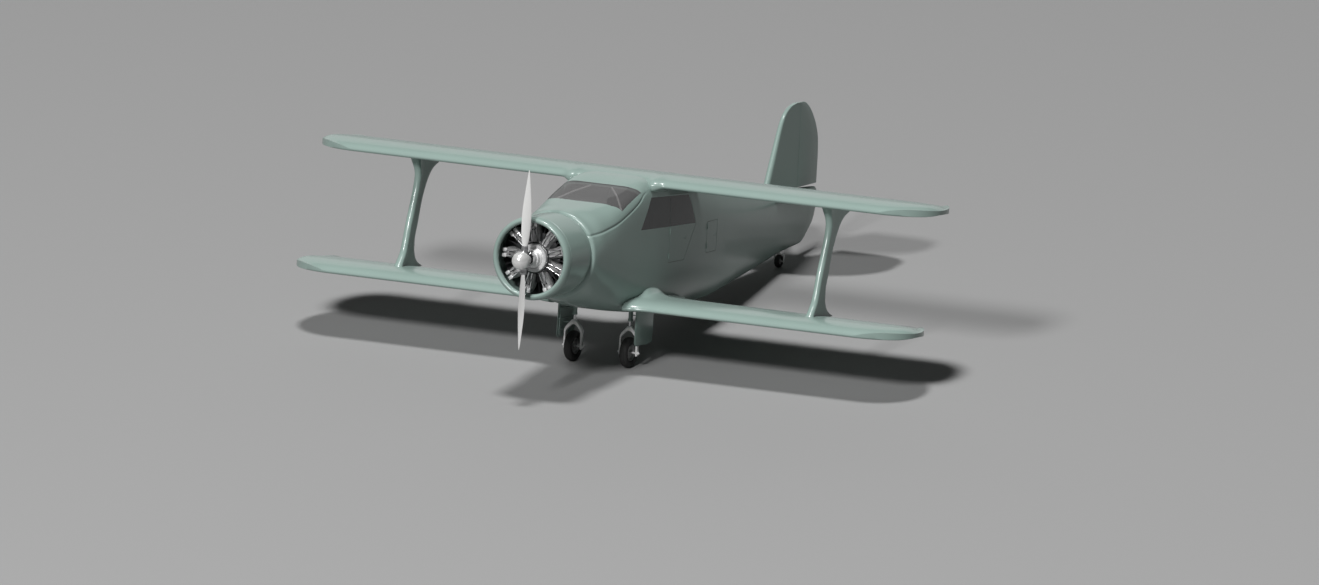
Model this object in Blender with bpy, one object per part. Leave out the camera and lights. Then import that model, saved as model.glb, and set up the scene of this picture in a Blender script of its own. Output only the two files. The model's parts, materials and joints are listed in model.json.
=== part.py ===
"""Cabin biplane with an open-fronted radial engine, parked on its three wheels.

Everything is drawn in the aircraft's own axes, in metres: x to its left, y aft of the
propeller's plane, z above the thrust line. One empty then sets it nose-up on the ground.
"""
import math

import bmesh
import bpy
from mathutils import Matrix, Vector

PITCH = math.radians(8.0)
HUB_AFT = -4.7803
WHEEL_X = 0.440
AXLE = (2.757, -1.546)
MAIN_RADIUS = 0.220
TAIL_RADIUS = 0.095
TAIL_AXLE_Y = 8.681
TAIL_SWIVEL_Y = 8.652
HUB_HEIGHT = MAIN_RADIUS + AXLE[0] * math.sin(PITCH) - AXLE[1] * math.cos(PITCH)
TAIL_AXLE = (TAIL_AXLE_Y,
             (TAIL_RADIUS - HUB_HEIGHT + TAIL_AXLE_Y * math.sin(PITCH)) / math.cos(PITCH))

GAP = 0.0004
DOOR_GAP = 0.006
SWING_GAP = 0.0065

SPAN = 9.754
CHORD = 1.524
UPPER_LE = (2.825, 0.912)
LOWER_LE = (2.210, -0.798)
UPPER_DROP = 0.045
LOWER_DROP = 0.030
WING_ABOVE = 0.096
WING_BELOW = 0.066
HINGE_FRACTION = 0.77
AILERON = (2.35, 4.28)
FLAP = (1.12, 2.86)

STRUT_X = 3.255

WALL = 0.035
GLASS = 0.0065
RIM = 0.028

# y, half width, top, widest height, bottom, squareness above, squareness below
NOSE_STATIONS = (
    (1.000, 0.600, 0.600, 0.00, -0.630, 2.1, 2.1),
    (1.035, 0.632, 0.622, 0.00, -0.665, 2.2, 2.2),
    (1.250, 0.644, 0.642, 0.00, -0.712, 2.6, 2.4),
    (1.500, 0.655, 0.664, 0.00, -0.770, 3.3, 2.7),
    (1.750, 0.664, 0.690, 0.00, -0.828, 4.5, 3.1),
    (2.100, 0.670, 0.778, -0.04, -0.895, 6.0, 3.8),
    (2.450, 0.673, 0.868, -0.08, -0.945, 7.0, 4.5),
    (2.610, 0.674, 0.916, -0.09, -0.963, 6.8, 4.8),
    (2.790, 0.675, 0.954, -0.10, -0.984, 6.5, 5.0),
    (3.000, 0.675, 0.968, -0.11, -1.005, 6.0, 5.0),
    (3.370, 0.675, 0.925, -0.12, -1.038, 5.5, 4.8),
    (4.000, 0.665, 0.885, -0.12, -1.070, 4.8, 4.0),
    (4.400, 0.650, 0.855, -0.12, -1.083, 4.3, 3.5),
    (4.900, 0.620, 0.786, -0.13, -1.090, 3.7, 3.1),
    (5.500, 0.570, 0.698, -0.15, -1.088, 3.1, 2.8),
)
TAIL_STATIONS = (
    (5.500, 0.570, 0.698, -0.15, -1.088, 3.1, 2.8),
    (6.100, 0.502, 0.602, -0.17, -1.045, 2.8, 2.6),
    (6.700, 0.423, 0.506, -0.20, -0.970, 2.6, 2.4),
    (7.400, 0.320, 0.396, -0.22, -0.885, 2.4, 2.3),
    (8.050, 0.222, 0.300, -0.24, -0.795, 2.3, 2.2),
    (8.600, 0.146, 0.226, -0.25, -0.712, 2.2, 2.2),
    (9.080, 0.090, 0.190, -0.24, -0.666, 2.2, 2.1),
    (9.350, 0.062, 0.180, -0.22, -0.638, 2.1, 2.0),
    (9.600, 0.040, 0.168, -0.16, -0.480, 2.0, 2.0),
    (9.770, 0.022, 0.150, -0.06, -0.320, 2.0, 2.0),
    (9.830, 0.010, 0.110, -0.03, -0.180, 2.0, 2.0),
)
QUADRANT = (0.0, 17.0, 30.0, 40.0, 50.0, 60.0, 73.0)

PAINT = ((0.245, 0.330, 0.295), 0.28, 0.0)
METAL = ((0.60, 0.61, 0.62), 0.32, 1.0)
DARK_METAL = ((0.16, 0.165, 0.17), 0.45, 1.0)
SILVER = ((0.66, 0.66, 0.65), 0.42, 0.6)
RUBBER = ((0.018, 0.018, 0.018), 0.75, 0.0)
TINT = ((0.05, 0.055, 0.055), 0.08, 0.0)
CLOTH = ((0.13, 0.10, 0.075), 0.80, 0.0)
TRIM = ((0.045, 0.045, 0.045), 0.60, 0.0)


def clear_scene():
    """Take out whatever the start-up file holds."""
    for old in list(bpy.data.objects):
        bpy.data.objects.remove(old, do_unlink=True)


def material(label, look):
    """Give the named material, made once."""
    made = bpy.data.materials.get(label)
    if made:
        return made
    colour, rough, metal = look
    made = bpy.data.materials.new(label)
    made.use_nodes = True
    shader = made.node_tree.nodes["Principled BSDF"]
    shader.inputs["Base Color"].default_value = (*colour, 1.0)
    shader.inputs["Roughness"].default_value = rough
    shader.inputs["Metallic"].default_value = metal
    return made


def body(name, bm):
    """Turn a bmesh into an object with every face looking outward."""
    bmesh.ops.remove_doubles(bm, verts=bm.verts, dist=1e-6)
    bmesh.ops.recalc_face_normals(bm, faces=bm.faces)
    mesh = bpy.data.meshes.new(name)
    bm.to_mesh(mesh)
    bm.free()
    made = bpy.data.objects.new(name, mesh)
    bpy.context.scene.collection.objects.link(made)
    return made


def loft(name, rings, split=False):
    """Skin a row of closed rings, each of the same count, and close both ends.

    With split, every four-sided face is halved the same way on both sides of the aircraft.
    """
    bm = bmesh.new()
    rows = [[bm.verts.new(point) for point in ring] for ring in rings]
    count = len(rows[0])
    for near, far in zip(rows, rows[1:]):
        for i in range(count):
            j = (i + 1) % count
            if not split:
                bm.faces.new((near[i], near[j], far[j], far[i]))
            elif near[i].co.x + near[j].co.x > 0:
                bm.faces.new((near[i], near[j], far[j]))
                bm.faces.new((near[i], far[j], far[i]))
            else:
                bm.faces.new((near[i], near[j], far[i]))
                bm.faces.new((near[j], far[j], far[i]))
    bm.faces.new(rows[0])
    bm.faces.new(rows[-1])
    return body(name, bm)


def lathe(name, profile, steps, origin, axis="y"):
    """Turn (along, radius) pairs round an axis through the origin; radius 0 ends a side."""
    bm = bmesh.new()
    turn = {"x": Matrix(((0, 0, 1), (1, 0, 0), (0, 1, 0))),
            "y": Matrix(((1, 0, 0), (0, 0, 1), (0, 1, 0))),
            "z": Matrix.Identity(3)}[axis]
    rows = []
    for along, radius in profile:
        if radius < 1e-6:
            rows.append([bm.verts.new(turn @ Vector((0, 0, along)) + Vector(origin))])
            continue
        row = []
        for k in range(steps):
            a = 2.0 * math.pi * k / steps
            spot = Vector((radius * math.cos(a), radius * math.sin(a), along))
            row.append(bm.verts.new(turn @ spot + Vector(origin)))
        rows.append(row)
    closed = len(rows[0]) > 1 and len(rows[-1]) > 1
    pairs = list(zip(rows, rows[1:]))
    if closed:
        pairs.append((rows[-1], rows[0]))
    for near, far in pairs:
        for k in range(steps):
            m = (k + 1) % steps
            if len(near) == 1:
                bm.faces.new((near[0], far[m], far[k]))
            elif len(far) == 1:
                bm.faces.new((near[k], near[m], far[0]))
            else:
                bm.faces.new((near[k], near[m], far[m], far[k]))
    return body(name, bm)


def prism(name, outline, axis, low, high):
    """Push a flat outline along x, y or z; the outline gives the other two in order."""
    def place(a, b, c):
        return {"x": (c, a, b), "y": (a, c, b), "z": (a, b, c)}[axis]
    rings = [[place(a, b, c) for a, b in outline] for c in (low, high)]
    return loft(name, rings)


def box(name, low, high):
    """Make a box from its two corners."""
    outline = ((low[0], low[1]), (high[0], low[1]), (high[0], high[1]), (low[0], high[1]))
    return prism(name, outline, "z", low[2], high[2])


def rod(name, start, end, radius, steps=12, end_radius=None):
    """Make a round bar between two points."""
    start, end = Vector(start), Vector(end)
    along = end - start
    turn = along.to_track_quat("Z", "Y").to_matrix()
    rings = []
    for centre, size in ((start, radius), (end, radius if end_radius is None else end_radius)):
        ring = []
        for k in range(steps):
            a = 2.0 * math.pi * k / steps
            ring.append(centre + turn @ Vector((size * math.cos(a), size * math.sin(a), 0)))
        rings.append(ring)
    return loft(name, rings)


def combine(base, tool, operation, keep=False):
    """Apply one exact boolean to the base and drop the tool unless it is kept."""
    step = base.modifiers.new("cut", "BOOLEAN")
    step.operation = operation
    step.solver = "EXACT"
    step.object = tool
    graph = bpy.context.evaluated_depsgraph_get()
    graph.update()
    mesh = bpy.data.meshes.new_from_object(base.evaluated_get(graph))
    base.modifiers.clear()
    base.data = mesh
    bm = bmesh.new()
    bm.from_mesh(mesh)
    bmesh.ops.remove_doubles(bm, verts=bm.verts, dist=2e-6)
    bmesh.ops.dissolve_degenerate(bm, edges=bm.edges, dist=2e-6)
    bm.to_mesh(mesh)
    bm.free()
    if not keep:
        bpy.data.objects.remove(tool, do_unlink=True)
    return base


def cut(base, *tools):
    """Take the tools out of the base."""
    for tool in tools:
        combine(base, tool, "DIFFERENCE")
    return base


def fuse(base, *tools):
    """Join the tools to the base."""
    for tool in tools:
        combine(base, tool, "UNION")
    return base


def dress(made, label, look):
    """Give an object its one material and hang it on the attitude empty."""
    made.data.materials.clear()
    made.data.materials.append(material(label, look))
    made.parent = bpy.data.objects["attitude"]
    return made


def centre_on(made, point):
    """Move an object's origin to a point of the aircraft, leaving its shape in place."""
    point = Vector(point)
    made.data.transform(Matrix.Translation(-point))
    made.location = point
    return made


def hull_ring(station, inset):
    """Give one fuselage ring, drawn in by the inset."""
    y, wide, top, mid, low, square_up, square_down = station
    wide -= inset
    up = top - inset - mid
    down = mid - (low + inset)
    ring = []
    for quarter in range(4):
        for angle in QUADRANT:
            a = math.radians(angle + 90.0 * quarter)
            c, s = math.cos(a), math.sin(a)
            n = square_up if s >= 0 else square_down
            r = (abs(c) ** n + abs(s) ** n) ** (-1.0 / n)
            ring.append((wide * r * c, y, mid + (up if s >= 0 else down) * r * s))
    return ring


def ring_at(stations, y, inset):
    """Give the ring at any y, on the straight skin between its two neighbours."""
    if y <= stations[0][0]:
        return [(x, y, z) for x, _, z in hull_ring(stations[0], inset)]
    for a, b in zip(stations, stations[1:]):
        if a[0] <= y <= b[0]:
            t = (y - a[0]) / (b[0] - a[0])
            near, far = hull_ring(a, inset), hull_ring(b, inset)
            return [(p[0] + t * (q[0] - p[0]), y, p[2] + t * (q[2] - p[2]))
                    for p, q in zip(near, far)]
    return [(x, y, z) for x, _, z in hull_ring(stations[-1], inset)]


def hull(name, stations, inset=0.0, first=None, last=None):
    """Loft the fuselage, or a skin inside it, between two stations."""
    first = stations[0][0] if first is None else first
    last = stations[-1][0] if last is None else last
    inner = [s for s in stations if first + 1e-4 < s[0] < last - 1e-4]
    rings = [ring_at(stations, first, inset)]
    rings += [hull_ring(station, inset) for station in inner]
    rings.append(ring_at(stations, last, inset))
    return loft(name, rings, split=True)


def inset_outline(outline, amount):
    """Draw a convex outline in by one amount, or by one for each side in turn."""
    count = len(outline)
    amounts = [amount] * count if isinstance(amount, float) else amount
    area = sum(outline[i][0] * outline[(i + 1) % count][1]
               - outline[(i + 1) % count][0] * outline[i][1] for i in range(count))
    side = 1.0 if area > 0 else -1.0
    lines = []
    for i in range(count):
        a, b = Vector(outline[i]), Vector(outline[(i + 1) % count])
        way = (b - a).normalized()
        inward = Vector((-way.y, way.x)) * side
        lines.append((a + inward * amounts[i], way))
    result = []
    for i in range(count):
        (p, d), (q, e) = lines[i - 1], lines[i]
        cross = d.x * e.y - d.y * e.x
        if abs(cross) < 1e-6:
            result.append(tuple(q))
            continue
        t = ((q.x - p.x) * e.y - (q.y - p.y) * e.x) / cross
        result.append(tuple(p + d * t))
    return result


AIRFOIL = ((0.0, 0.0, 0.0), (0.012, 0.27, 0.27), (0.04, 0.50, 0.50), (0.09, 0.71, 0.72),
           (0.17, 0.89, 0.91), (0.28, 1.0, 1.0), (0.42, 0.97, 0.96), (0.58, 0.81, 0.80),
           (HINGE_FRACTION, 0.475, 0.475), (1.0, 0.022, 0.022))


def wing_ring(x, lead, trail, z, above, below, grow=0.0, drop=0.0, hump=0.0):
    """Give one wing section at x, from leading to trailing edge and back."""
    chord = trail - lead
    upper, lower = [], []
    for f, up, down in AIRFOIL:
        reach = grow * (2.0 * f - 1.0)
        y = lead + f * chord + reach
        zc = z - drop * f
        rise = hump * math.exp(-((f - 0.44) / 0.14) ** 2)
        upper.append((x, y, zc + up * above + rise + grow * (f > 0)))
        lower.append((x, y, zc - down * below - grow * (f > 0)))
    return upper + lower[:0:-1]


def tip_rows(start, end, lead, chord, count=7):
    """Give (x, leading edge, trailing edge, thickness share) out to a rounded tip."""
    rows = []
    for k in range(1, count + 1):
        a = 0.5 * math.pi * k / count
        share = math.sin(a)
        x = start + (end - start) * share
        close = 1.0 - math.cos(a)
        front = lead + chord * 0.436 * close
        back = lead + chord - chord * 0.426 * close ** 1.7
        rows.append((x, front, back, max(0.58, abs(math.cos(a)) ** 0.3)))
    return rows


TIP_START = 4.15

# distance out, shift of the leading edge, thickness shares above and below
UPPER_ROOT = ((0.0, 0.0, 1.0, 1.0), (0.530, 0.0, 1.0, 1.0), (0.590, -0.030, 1.02, 1.40),
              (0.650, -0.045, 1.03, 1.65), (0.710, -0.024, 1.01, 1.35), (0.790, 0.0, 1.0, 1.0))


def upper_rings(grow=0.0):
    """Rings of the whole upper wing from tip to tip."""
    lead, z = UPPER_LE
    half = [(x, lead + shift, lead + CHORD, t, u) for x, shift, t, u in UPPER_ROOT]
    half.append((TIP_START, lead, lead + CHORD, 1.0, 1.0))
    half += [(x, a, b, t, t) for x, a, b, t in tip_rows(TIP_START, 0.5 * SPAN, lead, CHORD)]
    rows = [(-x, *rest) for x, *rest in reversed(half[1:])] + half
    return [wing_ring(x, a, b, z, WING_ABOVE * t, WING_BELOW * u, grow, UPPER_DROP)
            for x, a, b, t, u in rows]


# distance out, shifts of both edges, thickness shares above and below, height of the fillet
ROOT_ROWS = ((0.560, -0.075, 0.300, 1.20, 1.25, 0.125), (0.690, -0.062, 0.230, 1.15, 1.15, 0.095),
             (0.760, -0.035, 0.130, 1.08, 1.08, 0.036), (0.860, -0.012, 0.045, 1.03, 1.02, 0.009),
             (0.980, 0.0, 0.0, 1.0, 1.0, 0.0))


def lower_rings(side, grow=0.0):
    """Rings of one lower wing from inside the fuselage to the tip."""
    lead, z = LOWER_LE
    rows = [(x, lead + a, lead + CHORD + b, t, u, h) for x, a, b, t, u, h in ROOT_ROWS]
    rows.append((TIP_START, lead, lead + CHORD, 1.0, 1.0, 0.0))
    rows += [(x, a, b, t, t, 0.0) for x, a, b, t in tip_rows(TIP_START, 0.5 * SPAN, lead, CHORD)]
    return [wing_ring(side * x, a, b, z, WING_ABOVE * t, WING_BELOW * u, grow, LOWER_DROP, h)
            for x, a, b, t, u, h in rows]


def surface_numbers(lead, z, drop):
    """Give the hinge point, nose radius and trailing point of a wing's moving part."""
    above = 0.475 * WING_ABOVE
    below = 0.475 * WING_BELOW
    y = lead + HINGE_FRACTION * CHORD
    chord_z = z - drop * HINGE_FRACTION
    radius = 0.5 * (above + below)
    centre = chord_z + 0.5 * (above - below)
    end = (lead + CHORD, z - drop, 0.022 * 0.5 * (WING_ABOVE + WING_BELOW))
    return (y, centre), radius, end


def flap_ring(x, hinge, radius, end, steps=8):
    """Give a moving surface's section: round nose at the hinge, straight back to its edge."""
    ring = []
    for k in range(steps + 1):
        a = math.pi * (0.5 + k / steps)
        ring.append((x, hinge[0] + radius * math.cos(a), hinge[1] + radius * math.sin(a)))
    ring.append((x, end[0], end[1] - end[2]))
    ring.append((x, end[0], end[1] + end[2]))
    return ring


def cove_outline(hinge, radius, back, steps=8):
    """Give the outline that clears a moving surface out of its wing."""
    r = radius + SWING_GAP
    outline = [(hinge[0], hinge[1] + 0.3), (hinge[0], hinge[1] + r)]
    for k in range(1, steps):
        a = math.pi * (0.5 + k / steps)
        outline.append((hinge[0] + r * math.cos(a), hinge[1] + r * math.sin(a)))
    outline += [(hinge[0], hinge[1] - r), (hinge[0], hinge[1] - 0.3),
                (back, hinge[1] - 0.3), (back, hinge[1] + 0.3)]
    return outline


def add_stubs(vane, hinge, low, high, reach_low, reach_high, radius=0.009):
    """Add the hinge pins that carry a surface at its two ends."""
    fuse(vane, rod("pin", (low - reach_low, *hinge), (low + 0.02, *hinge), radius, 10),
         rod("pin", (high - 0.02, *hinge), (high + reach_high, *hinge), radius, 10))
    return vane


def wings():
    """Both wings with their ailerons and flaps."""
    lead, z = UPPER_LE
    hinge, radius, end = surface_numbers(lead, z, UPPER_DROP)
    upper = loft("upper_wing", upper_rings(), split=True)
    for side, word in ((1.0, "left"), (-1.0, "right")):
        low, high = sorted((side * AILERON[0], side * AILERON[1]))
        cut(upper, prism("cove", cove_outline(hinge, radius, lead + CHORD + 0.2), "x",
                         low - DOOR_GAP, high + DOOR_GAP))
        vane = loft("aileron_" + word, [flap_ring(x, hinge, radius, end) for x in (low, high)])
        add_stubs(vane, hinge, low, high, DOOR_GAP - 0.0005, DOOR_GAP - 0.0005)
        centre_on(vane, (0.5 * (low + high), *hinge))
        dress(vane, "paint", PAINT)
    dress(upper, "paint", PAINT)

    lead, z = LOWER_LE
    hinge, radius, end = surface_numbers(lead, z, LOWER_DROP)
    for side, word in ((1.0, "left"), (-1.0, "right")):
        wing = loft("lower_wing_" + word, lower_rings(side), split=True)
        low, high = sorted((side * FLAP[0], side * FLAP[1]))
        cut(wing, hull("skin", NOSE_STATIONS, -GAP),
            prism("cove", cove_outline(hinge, radius, lead + CHORD + 0.2), "x",
                  low - DOOR_GAP, high + DOOR_GAP))
        dress(wing, "paint", PAINT)
        vane = loft("flap_" + word, [flap_ring(x, hinge, radius, end) for x in (low, high)])
        add_stubs(vane, hinge, low, high, DOOR_GAP - 0.0005, DOOR_GAP - 0.0005)
        centre_on(vane, (0.5 * (low + high), *hinge))
        dress(vane, "paint", PAINT)


# height, leading edge, trailing edge, thickness of the strut between the wings
STRUT_ROWS = ((-0.775, 2.600, 3.500, 0.150), (-0.735, 2.640, 3.400, 0.118),
              (-0.690, 2.680, 3.320, 0.100), (-0.627, 2.733, 3.260, 0.092),
              (-0.507, 2.822, 3.215, 0.088), (-0.382, 2.865, 3.212, 0.086),
              (-0.130, 2.940, 3.285, 0.086), (0.180, 3.056, 3.375, 0.086),
              (0.418, 3.135, 3.494, 0.086), (0.552, 3.158, 3.598, 0.088),
              (0.648, 3.135, 3.735, 0.092), (0.697, 3.105, 3.877, 0.098),
              (0.760, 3.060, 3.920, 0.112), (0.845, 3.010, 3.930, 0.140),
              (0.880, 2.990, 3.930, 0.165))


def strut_ring(x, z, lead, trail, thick, steps=14):
    """Give one strut section: an ellipse fuller toward the front."""
    ring = []
    for k in range(steps):
        a = 2.0 * math.pi * k / steps
        f = 0.5 - 0.5 * math.cos(a)
        y = lead + (trail - lead) * f ** 1.15
        ring.append((x + 0.5 * thick * math.sin(a), y, z))
    return ring


def struts():
    """The strut on each side, trimmed to both wings' skins."""
    for side, word in ((1.0, "left"), (-1.0, "right")):
        x = side * STRUT_X
        strut = loft("strut_" + word, [strut_ring(x, *row) for row in STRUT_ROWS])
        cut(strut, loft("skin", upper_rings(GAP), split=True),
            loft("skin", lower_rings(side, GAP), split=True))
        dress(strut, "paint", PAINT)


WINDSHIELD = ((-0.610, 1.884), (-0.482, 1.789), (-0.363, 1.762), (-0.230, 1.733), (0.0, 1.723),
              (0.230, 1.733), (0.363, 1.762), (0.482, 1.789), (0.610, 1.884), (0.605, 2.491),
              (0.465, 2.441), (0.0, 2.436), (-0.465, 2.441), (-0.605, 2.491))
SIDE_WINDOW = ((2.430, 0.270), (4.320, 0.200), (4.090, 0.630), (2.750, 0.710))
FRONT_PANE = ((2.430, 0.270), (3.400, 0.2341), (3.400, 0.6712), (2.750, 0.710))
FRONT_SEAT = ((2.430, 0.270), (3.415, 0.2336), (3.415, 0.6703), (2.750, 0.710))
DOOR_PANE = ((3.400, 0.2341), (4.320, 0.200), (4.090, 0.630), (3.400, 0.6712))
PANE_EDGES = (0.001, 0.0085, 0.001, 0.0065)
SEAT_EDGES = (0.0, -0.010, 0.0, -0.010)
DOOR = ((3.400, -0.290), (3.940, -0.300), (4.332, 0.200), (4.102, 0.655), (3.400, 0.700))
BAGGAGE = ((4.770, -0.285), (5.180, -0.285), (5.180, 0.170), (4.770, 0.170))
DOOR_HINGE = (0.692, 3.400)
BAGGAGE_HINGE = (0.646, 4.770)
KNUCKLE = 0.008


def pane_seat(outline, axis, low, high):
    """Give the thin layer a pane lies in, cut out of the skin from outside."""
    seat = prism("seat", outline, axis, low, high)
    return cut(seat, hull("skin", NOSE_STATIONS, GLASS + GAP, first=0.9, last=5.6))


def pane(name, outline, axis, low, high):
    """Give a curved pane flush with the fuselage's skin."""
    made = hull(name, NOSE_STATIONS)
    combine(made, prism("edge", inset_outline(outline, GAP), axis, low, high), "INTERSECT")
    cut(made, hull("skin", NOSE_STATIONS, GLASS, first=0.9, last=5.6))
    return dress(made, "tinted_glass", TINT)


def fuselage():
    """Cabin shell, its doors and panes, and the tail cone."""
    cabin = hull("cabin_fuselage", NOSE_STATIONS)
    cut(cabin, hull("inside", NOSE_STATIONS, WALL, first=1.030, last=5.470),
        loft("skin", upper_rings(GAP), split=True))
    cut(cabin, pane_seat(WINDSHIELD, "z", 0.35, 1.2),
        prism("hole", inset_outline(WINDSHIELD, RIM), "z", 0.35, 1.2))
    cut(cabin, pane_seat(SIDE_WINDOW, "x", -1.0, -0.4),
        prism("hole", inset_outline(SIDE_WINDOW, RIM), "x", -1.0, -0.4))
    cut(cabin, pane_seat(FRONT_SEAT, "x", 0.4, 1.0),
        prism("hole", inset_outline(FRONT_PANE, RIM), "x", 0.4, 1.0))
    cut(cabin, prism("hole", DOOR, "x", 0.4, 1.0), prism("hole", BAGGAGE, "x", 0.4, 1.0))
    pane("windshield", WINDSHIELD, "z", 0.35, 1.2)
    pane("right_side_window", SIDE_WINDOW, "x", -1.0, -0.4)
    pane("left_side_window", FRONT_PANE, "x", 0.4, 1.0)
    pane("door_window", inset_outline(DOOR_PANE, PANE_EDGES), "x", 0.4, 1.0)

    for name, outline, edges, thick, hinge, heights in (
            ("cabin_door", DOOR, (0.006, 0.008, 0.008, 0.006, 0.006), 0.026, DOOR_HINGE,
             (-0.230, 0.120)),
            ("baggage_door", BAGGAGE, (0.006, 0.010, 0.006, 0.006), 0.014, BAGGAGE_HINGE,
             (-0.220, 0.060))):
        door = hull(name, NOSE_STATIONS)
        combine(door, prism("edge", inset_outline(outline, edges), "x", 0.4, 1.0), "INTERSECT")
        cut(door, hull("skin", NOSE_STATIONS, thick, first=0.9, last=5.47))
        x, y = hinge
        for z in heights:
            fuse(door, rod("knuckle", (x, y, z), (x, y, z + 0.045), KNUCKLE, 12),
                 prism("tab", ((x - 0.006, y - 0.002), (x + 0.004, y + 0.004),
                               (x - 0.018, y + 0.034), (x - 0.024, y + 0.030)),
                       "z", z + 0.002, z + 0.043))
            fuse(cabin, rod("knuckle", (x, y, z + 0.0455), (x, y, z + 0.085), KNUCKLE, 12),
                 prism("tab", ((x - 0.006, y + 0.002), (x + 0.004, y - 0.004),
                               (x - 0.014, y - 0.034), (x - 0.024, y - 0.030)),
                       "z", z + 0.0475, z + 0.083))
        if name == "cabin_door":
            cut(door, pane_seat(inset_outline(DOOR_PANE, SEAT_EDGES), "x", 0.4, 1.0),
                prism("hole", inset_outline(DOOR_PANE, DOOR_GAP + RIM), "x", 0.4, 1.0))
        centre_on(door, (*hinge, 0.0))
        dress(door, "paint", PAINT)
    dress(cabin, "paint", PAINT)

    tail = hull("tail_fuselage", TAIL_STATIONS, first=5.500 + GAP)
    cut(tail, hull("inside", TAIL_STATIONS, 0.030, first=5.400, last=8.300))
    dress(tail, "paint", PAINT)


# height, leading edge of the fin, trailing edge of the rudder
FIN_ROWS = ((0.100, 7.960, 9.815), (0.197, 8.000, 9.815), (0.320, 8.050, 9.815),
            (0.600, 8.173, 9.812), (0.850, 8.283, 9.785), (1.050, 8.372, 9.700),
            (1.180, 8.440, 9.590), (1.290, 8.520, 9.450), (1.370, 8.625, 9.325),
            (1.425, 8.780, 9.200), (1.448, 8.960, 9.130))
RUDDER_HINGE = 9.080
RUDDER_FOOT = 0.203
RUDDER_PIN = 0.1918
FIN_THICK = 0.100


def fin_half(z):
    """Half thickness of the fin and rudder at the hinge line, by height."""
    share = max(0.0, min(1.0, (z - 0.1) / 1.35))
    return 0.5 * FIN_THICK * (1.0 - 0.45 * share ** 2)


def leaf_ring(place, lead, trail, half):
    """Give a thin symmetric section from a leading edge to a flat back."""
    front, back = [], []
    for f, t in ((0.0, 0.0), (0.02, 0.36), (0.07, 0.62), (0.18, 0.88), (0.40, 1.0), (1.0, 0.86)):
        y = lead + f * (trail - lead)
        front.append(place(t * half, y))
        back.append(place(-t * half, y))
    return front + back[:0:-1]


def fin_and_rudder():
    """The fixed fin and the rudder hinged behind it."""
    back = RUDDER_HINGE + 0.02
    rings = []
    for z, lead, _ in FIN_ROWS:
        rings.append(leaf_ring(lambda t, y, h=z: (t, y, h), lead, back, fin_half(z)))
    fin = loft("fin", rings)
    foot, top = RUDDER_FOOT, FIN_ROWS[-1][0] - 0.004
    cove = []
    for z in (foot - 0.3, foot, 0.85, top, top + 0.1):
        r = fin_half(z) * 0.86 + SWING_GAP
        ring = [(0.3, RUDDER_HINGE, z), (r, RUDDER_HINGE, z)]
        for k in range(1, 8):
            a = math.pi * k / 8
            ring.append((r * math.cos(a), RUDDER_HINGE - r * math.sin(a), z))
        ring += [(-r, RUDDER_HINGE, z), (-0.3, RUDDER_HINGE, z), (-0.3, 9.4, z), (0.3, 9.4, z)]
        cove.append(ring)
    cut(fin, loft("cove", cove), hull("skin", TAIL_STATIONS, -GAP))
    dress(fin, "paint", PAINT)

    rings = []
    for z, _, trail in [(foot, 0, 9.815)] + [r for r in FIN_ROWS if foot < r[0] < top]:
        r = fin_half(z) * 0.86
        ring = []
        for k in range(9):
            a = math.pi * k / 8
            ring.append((r * math.cos(a), RUDDER_HINGE - r * math.sin(a), z))
        ring += [(-0.004, trail, z), (0.004, trail, z)]
        rings.append(ring)
    rudder = loft("rudder", rings)
    fuse(rudder, rod("pin", (0, RUDDER_HINGE, RUDDER_PIN), (0, RUDDER_HINGE, foot + 0.02),
                     0.014, 12))
    centre_on(rudder, (0.0, RUDDER_HINGE, foot))
    dress(rudder, "paint", PAINT)


# distance out, leading edge, trailing edge of tailplane and elevator
TAILPLANE_ROWS = ((0.060, 8.020, 9.650), (0.300, 8.045, 9.655), (0.600, 8.115, 9.655),
                  (0.900, 8.235, 9.655), (1.150, 8.385, 9.640), (1.320, 8.540, 9.600),
                  (1.430, 8.690, 9.530), (1.500, 8.850, 9.420), (1.530, 8.980, 9.300))
TAILPLANE_Z = 0.100
ELEVATOR_HINGE = 9.120
ELEVATOR_ROOT = 0.155
ELEVATOR_TUBE = 0.0606
ELEVATOR_CORNER = 0.410


def plane_half(x):
    """Half thickness of the tailplane and elevator, by distance out."""
    share = max(0.0, min(1.0, x / 1.53))
    return 0.040 * (1.0 - 0.5 * share ** 2)


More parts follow.
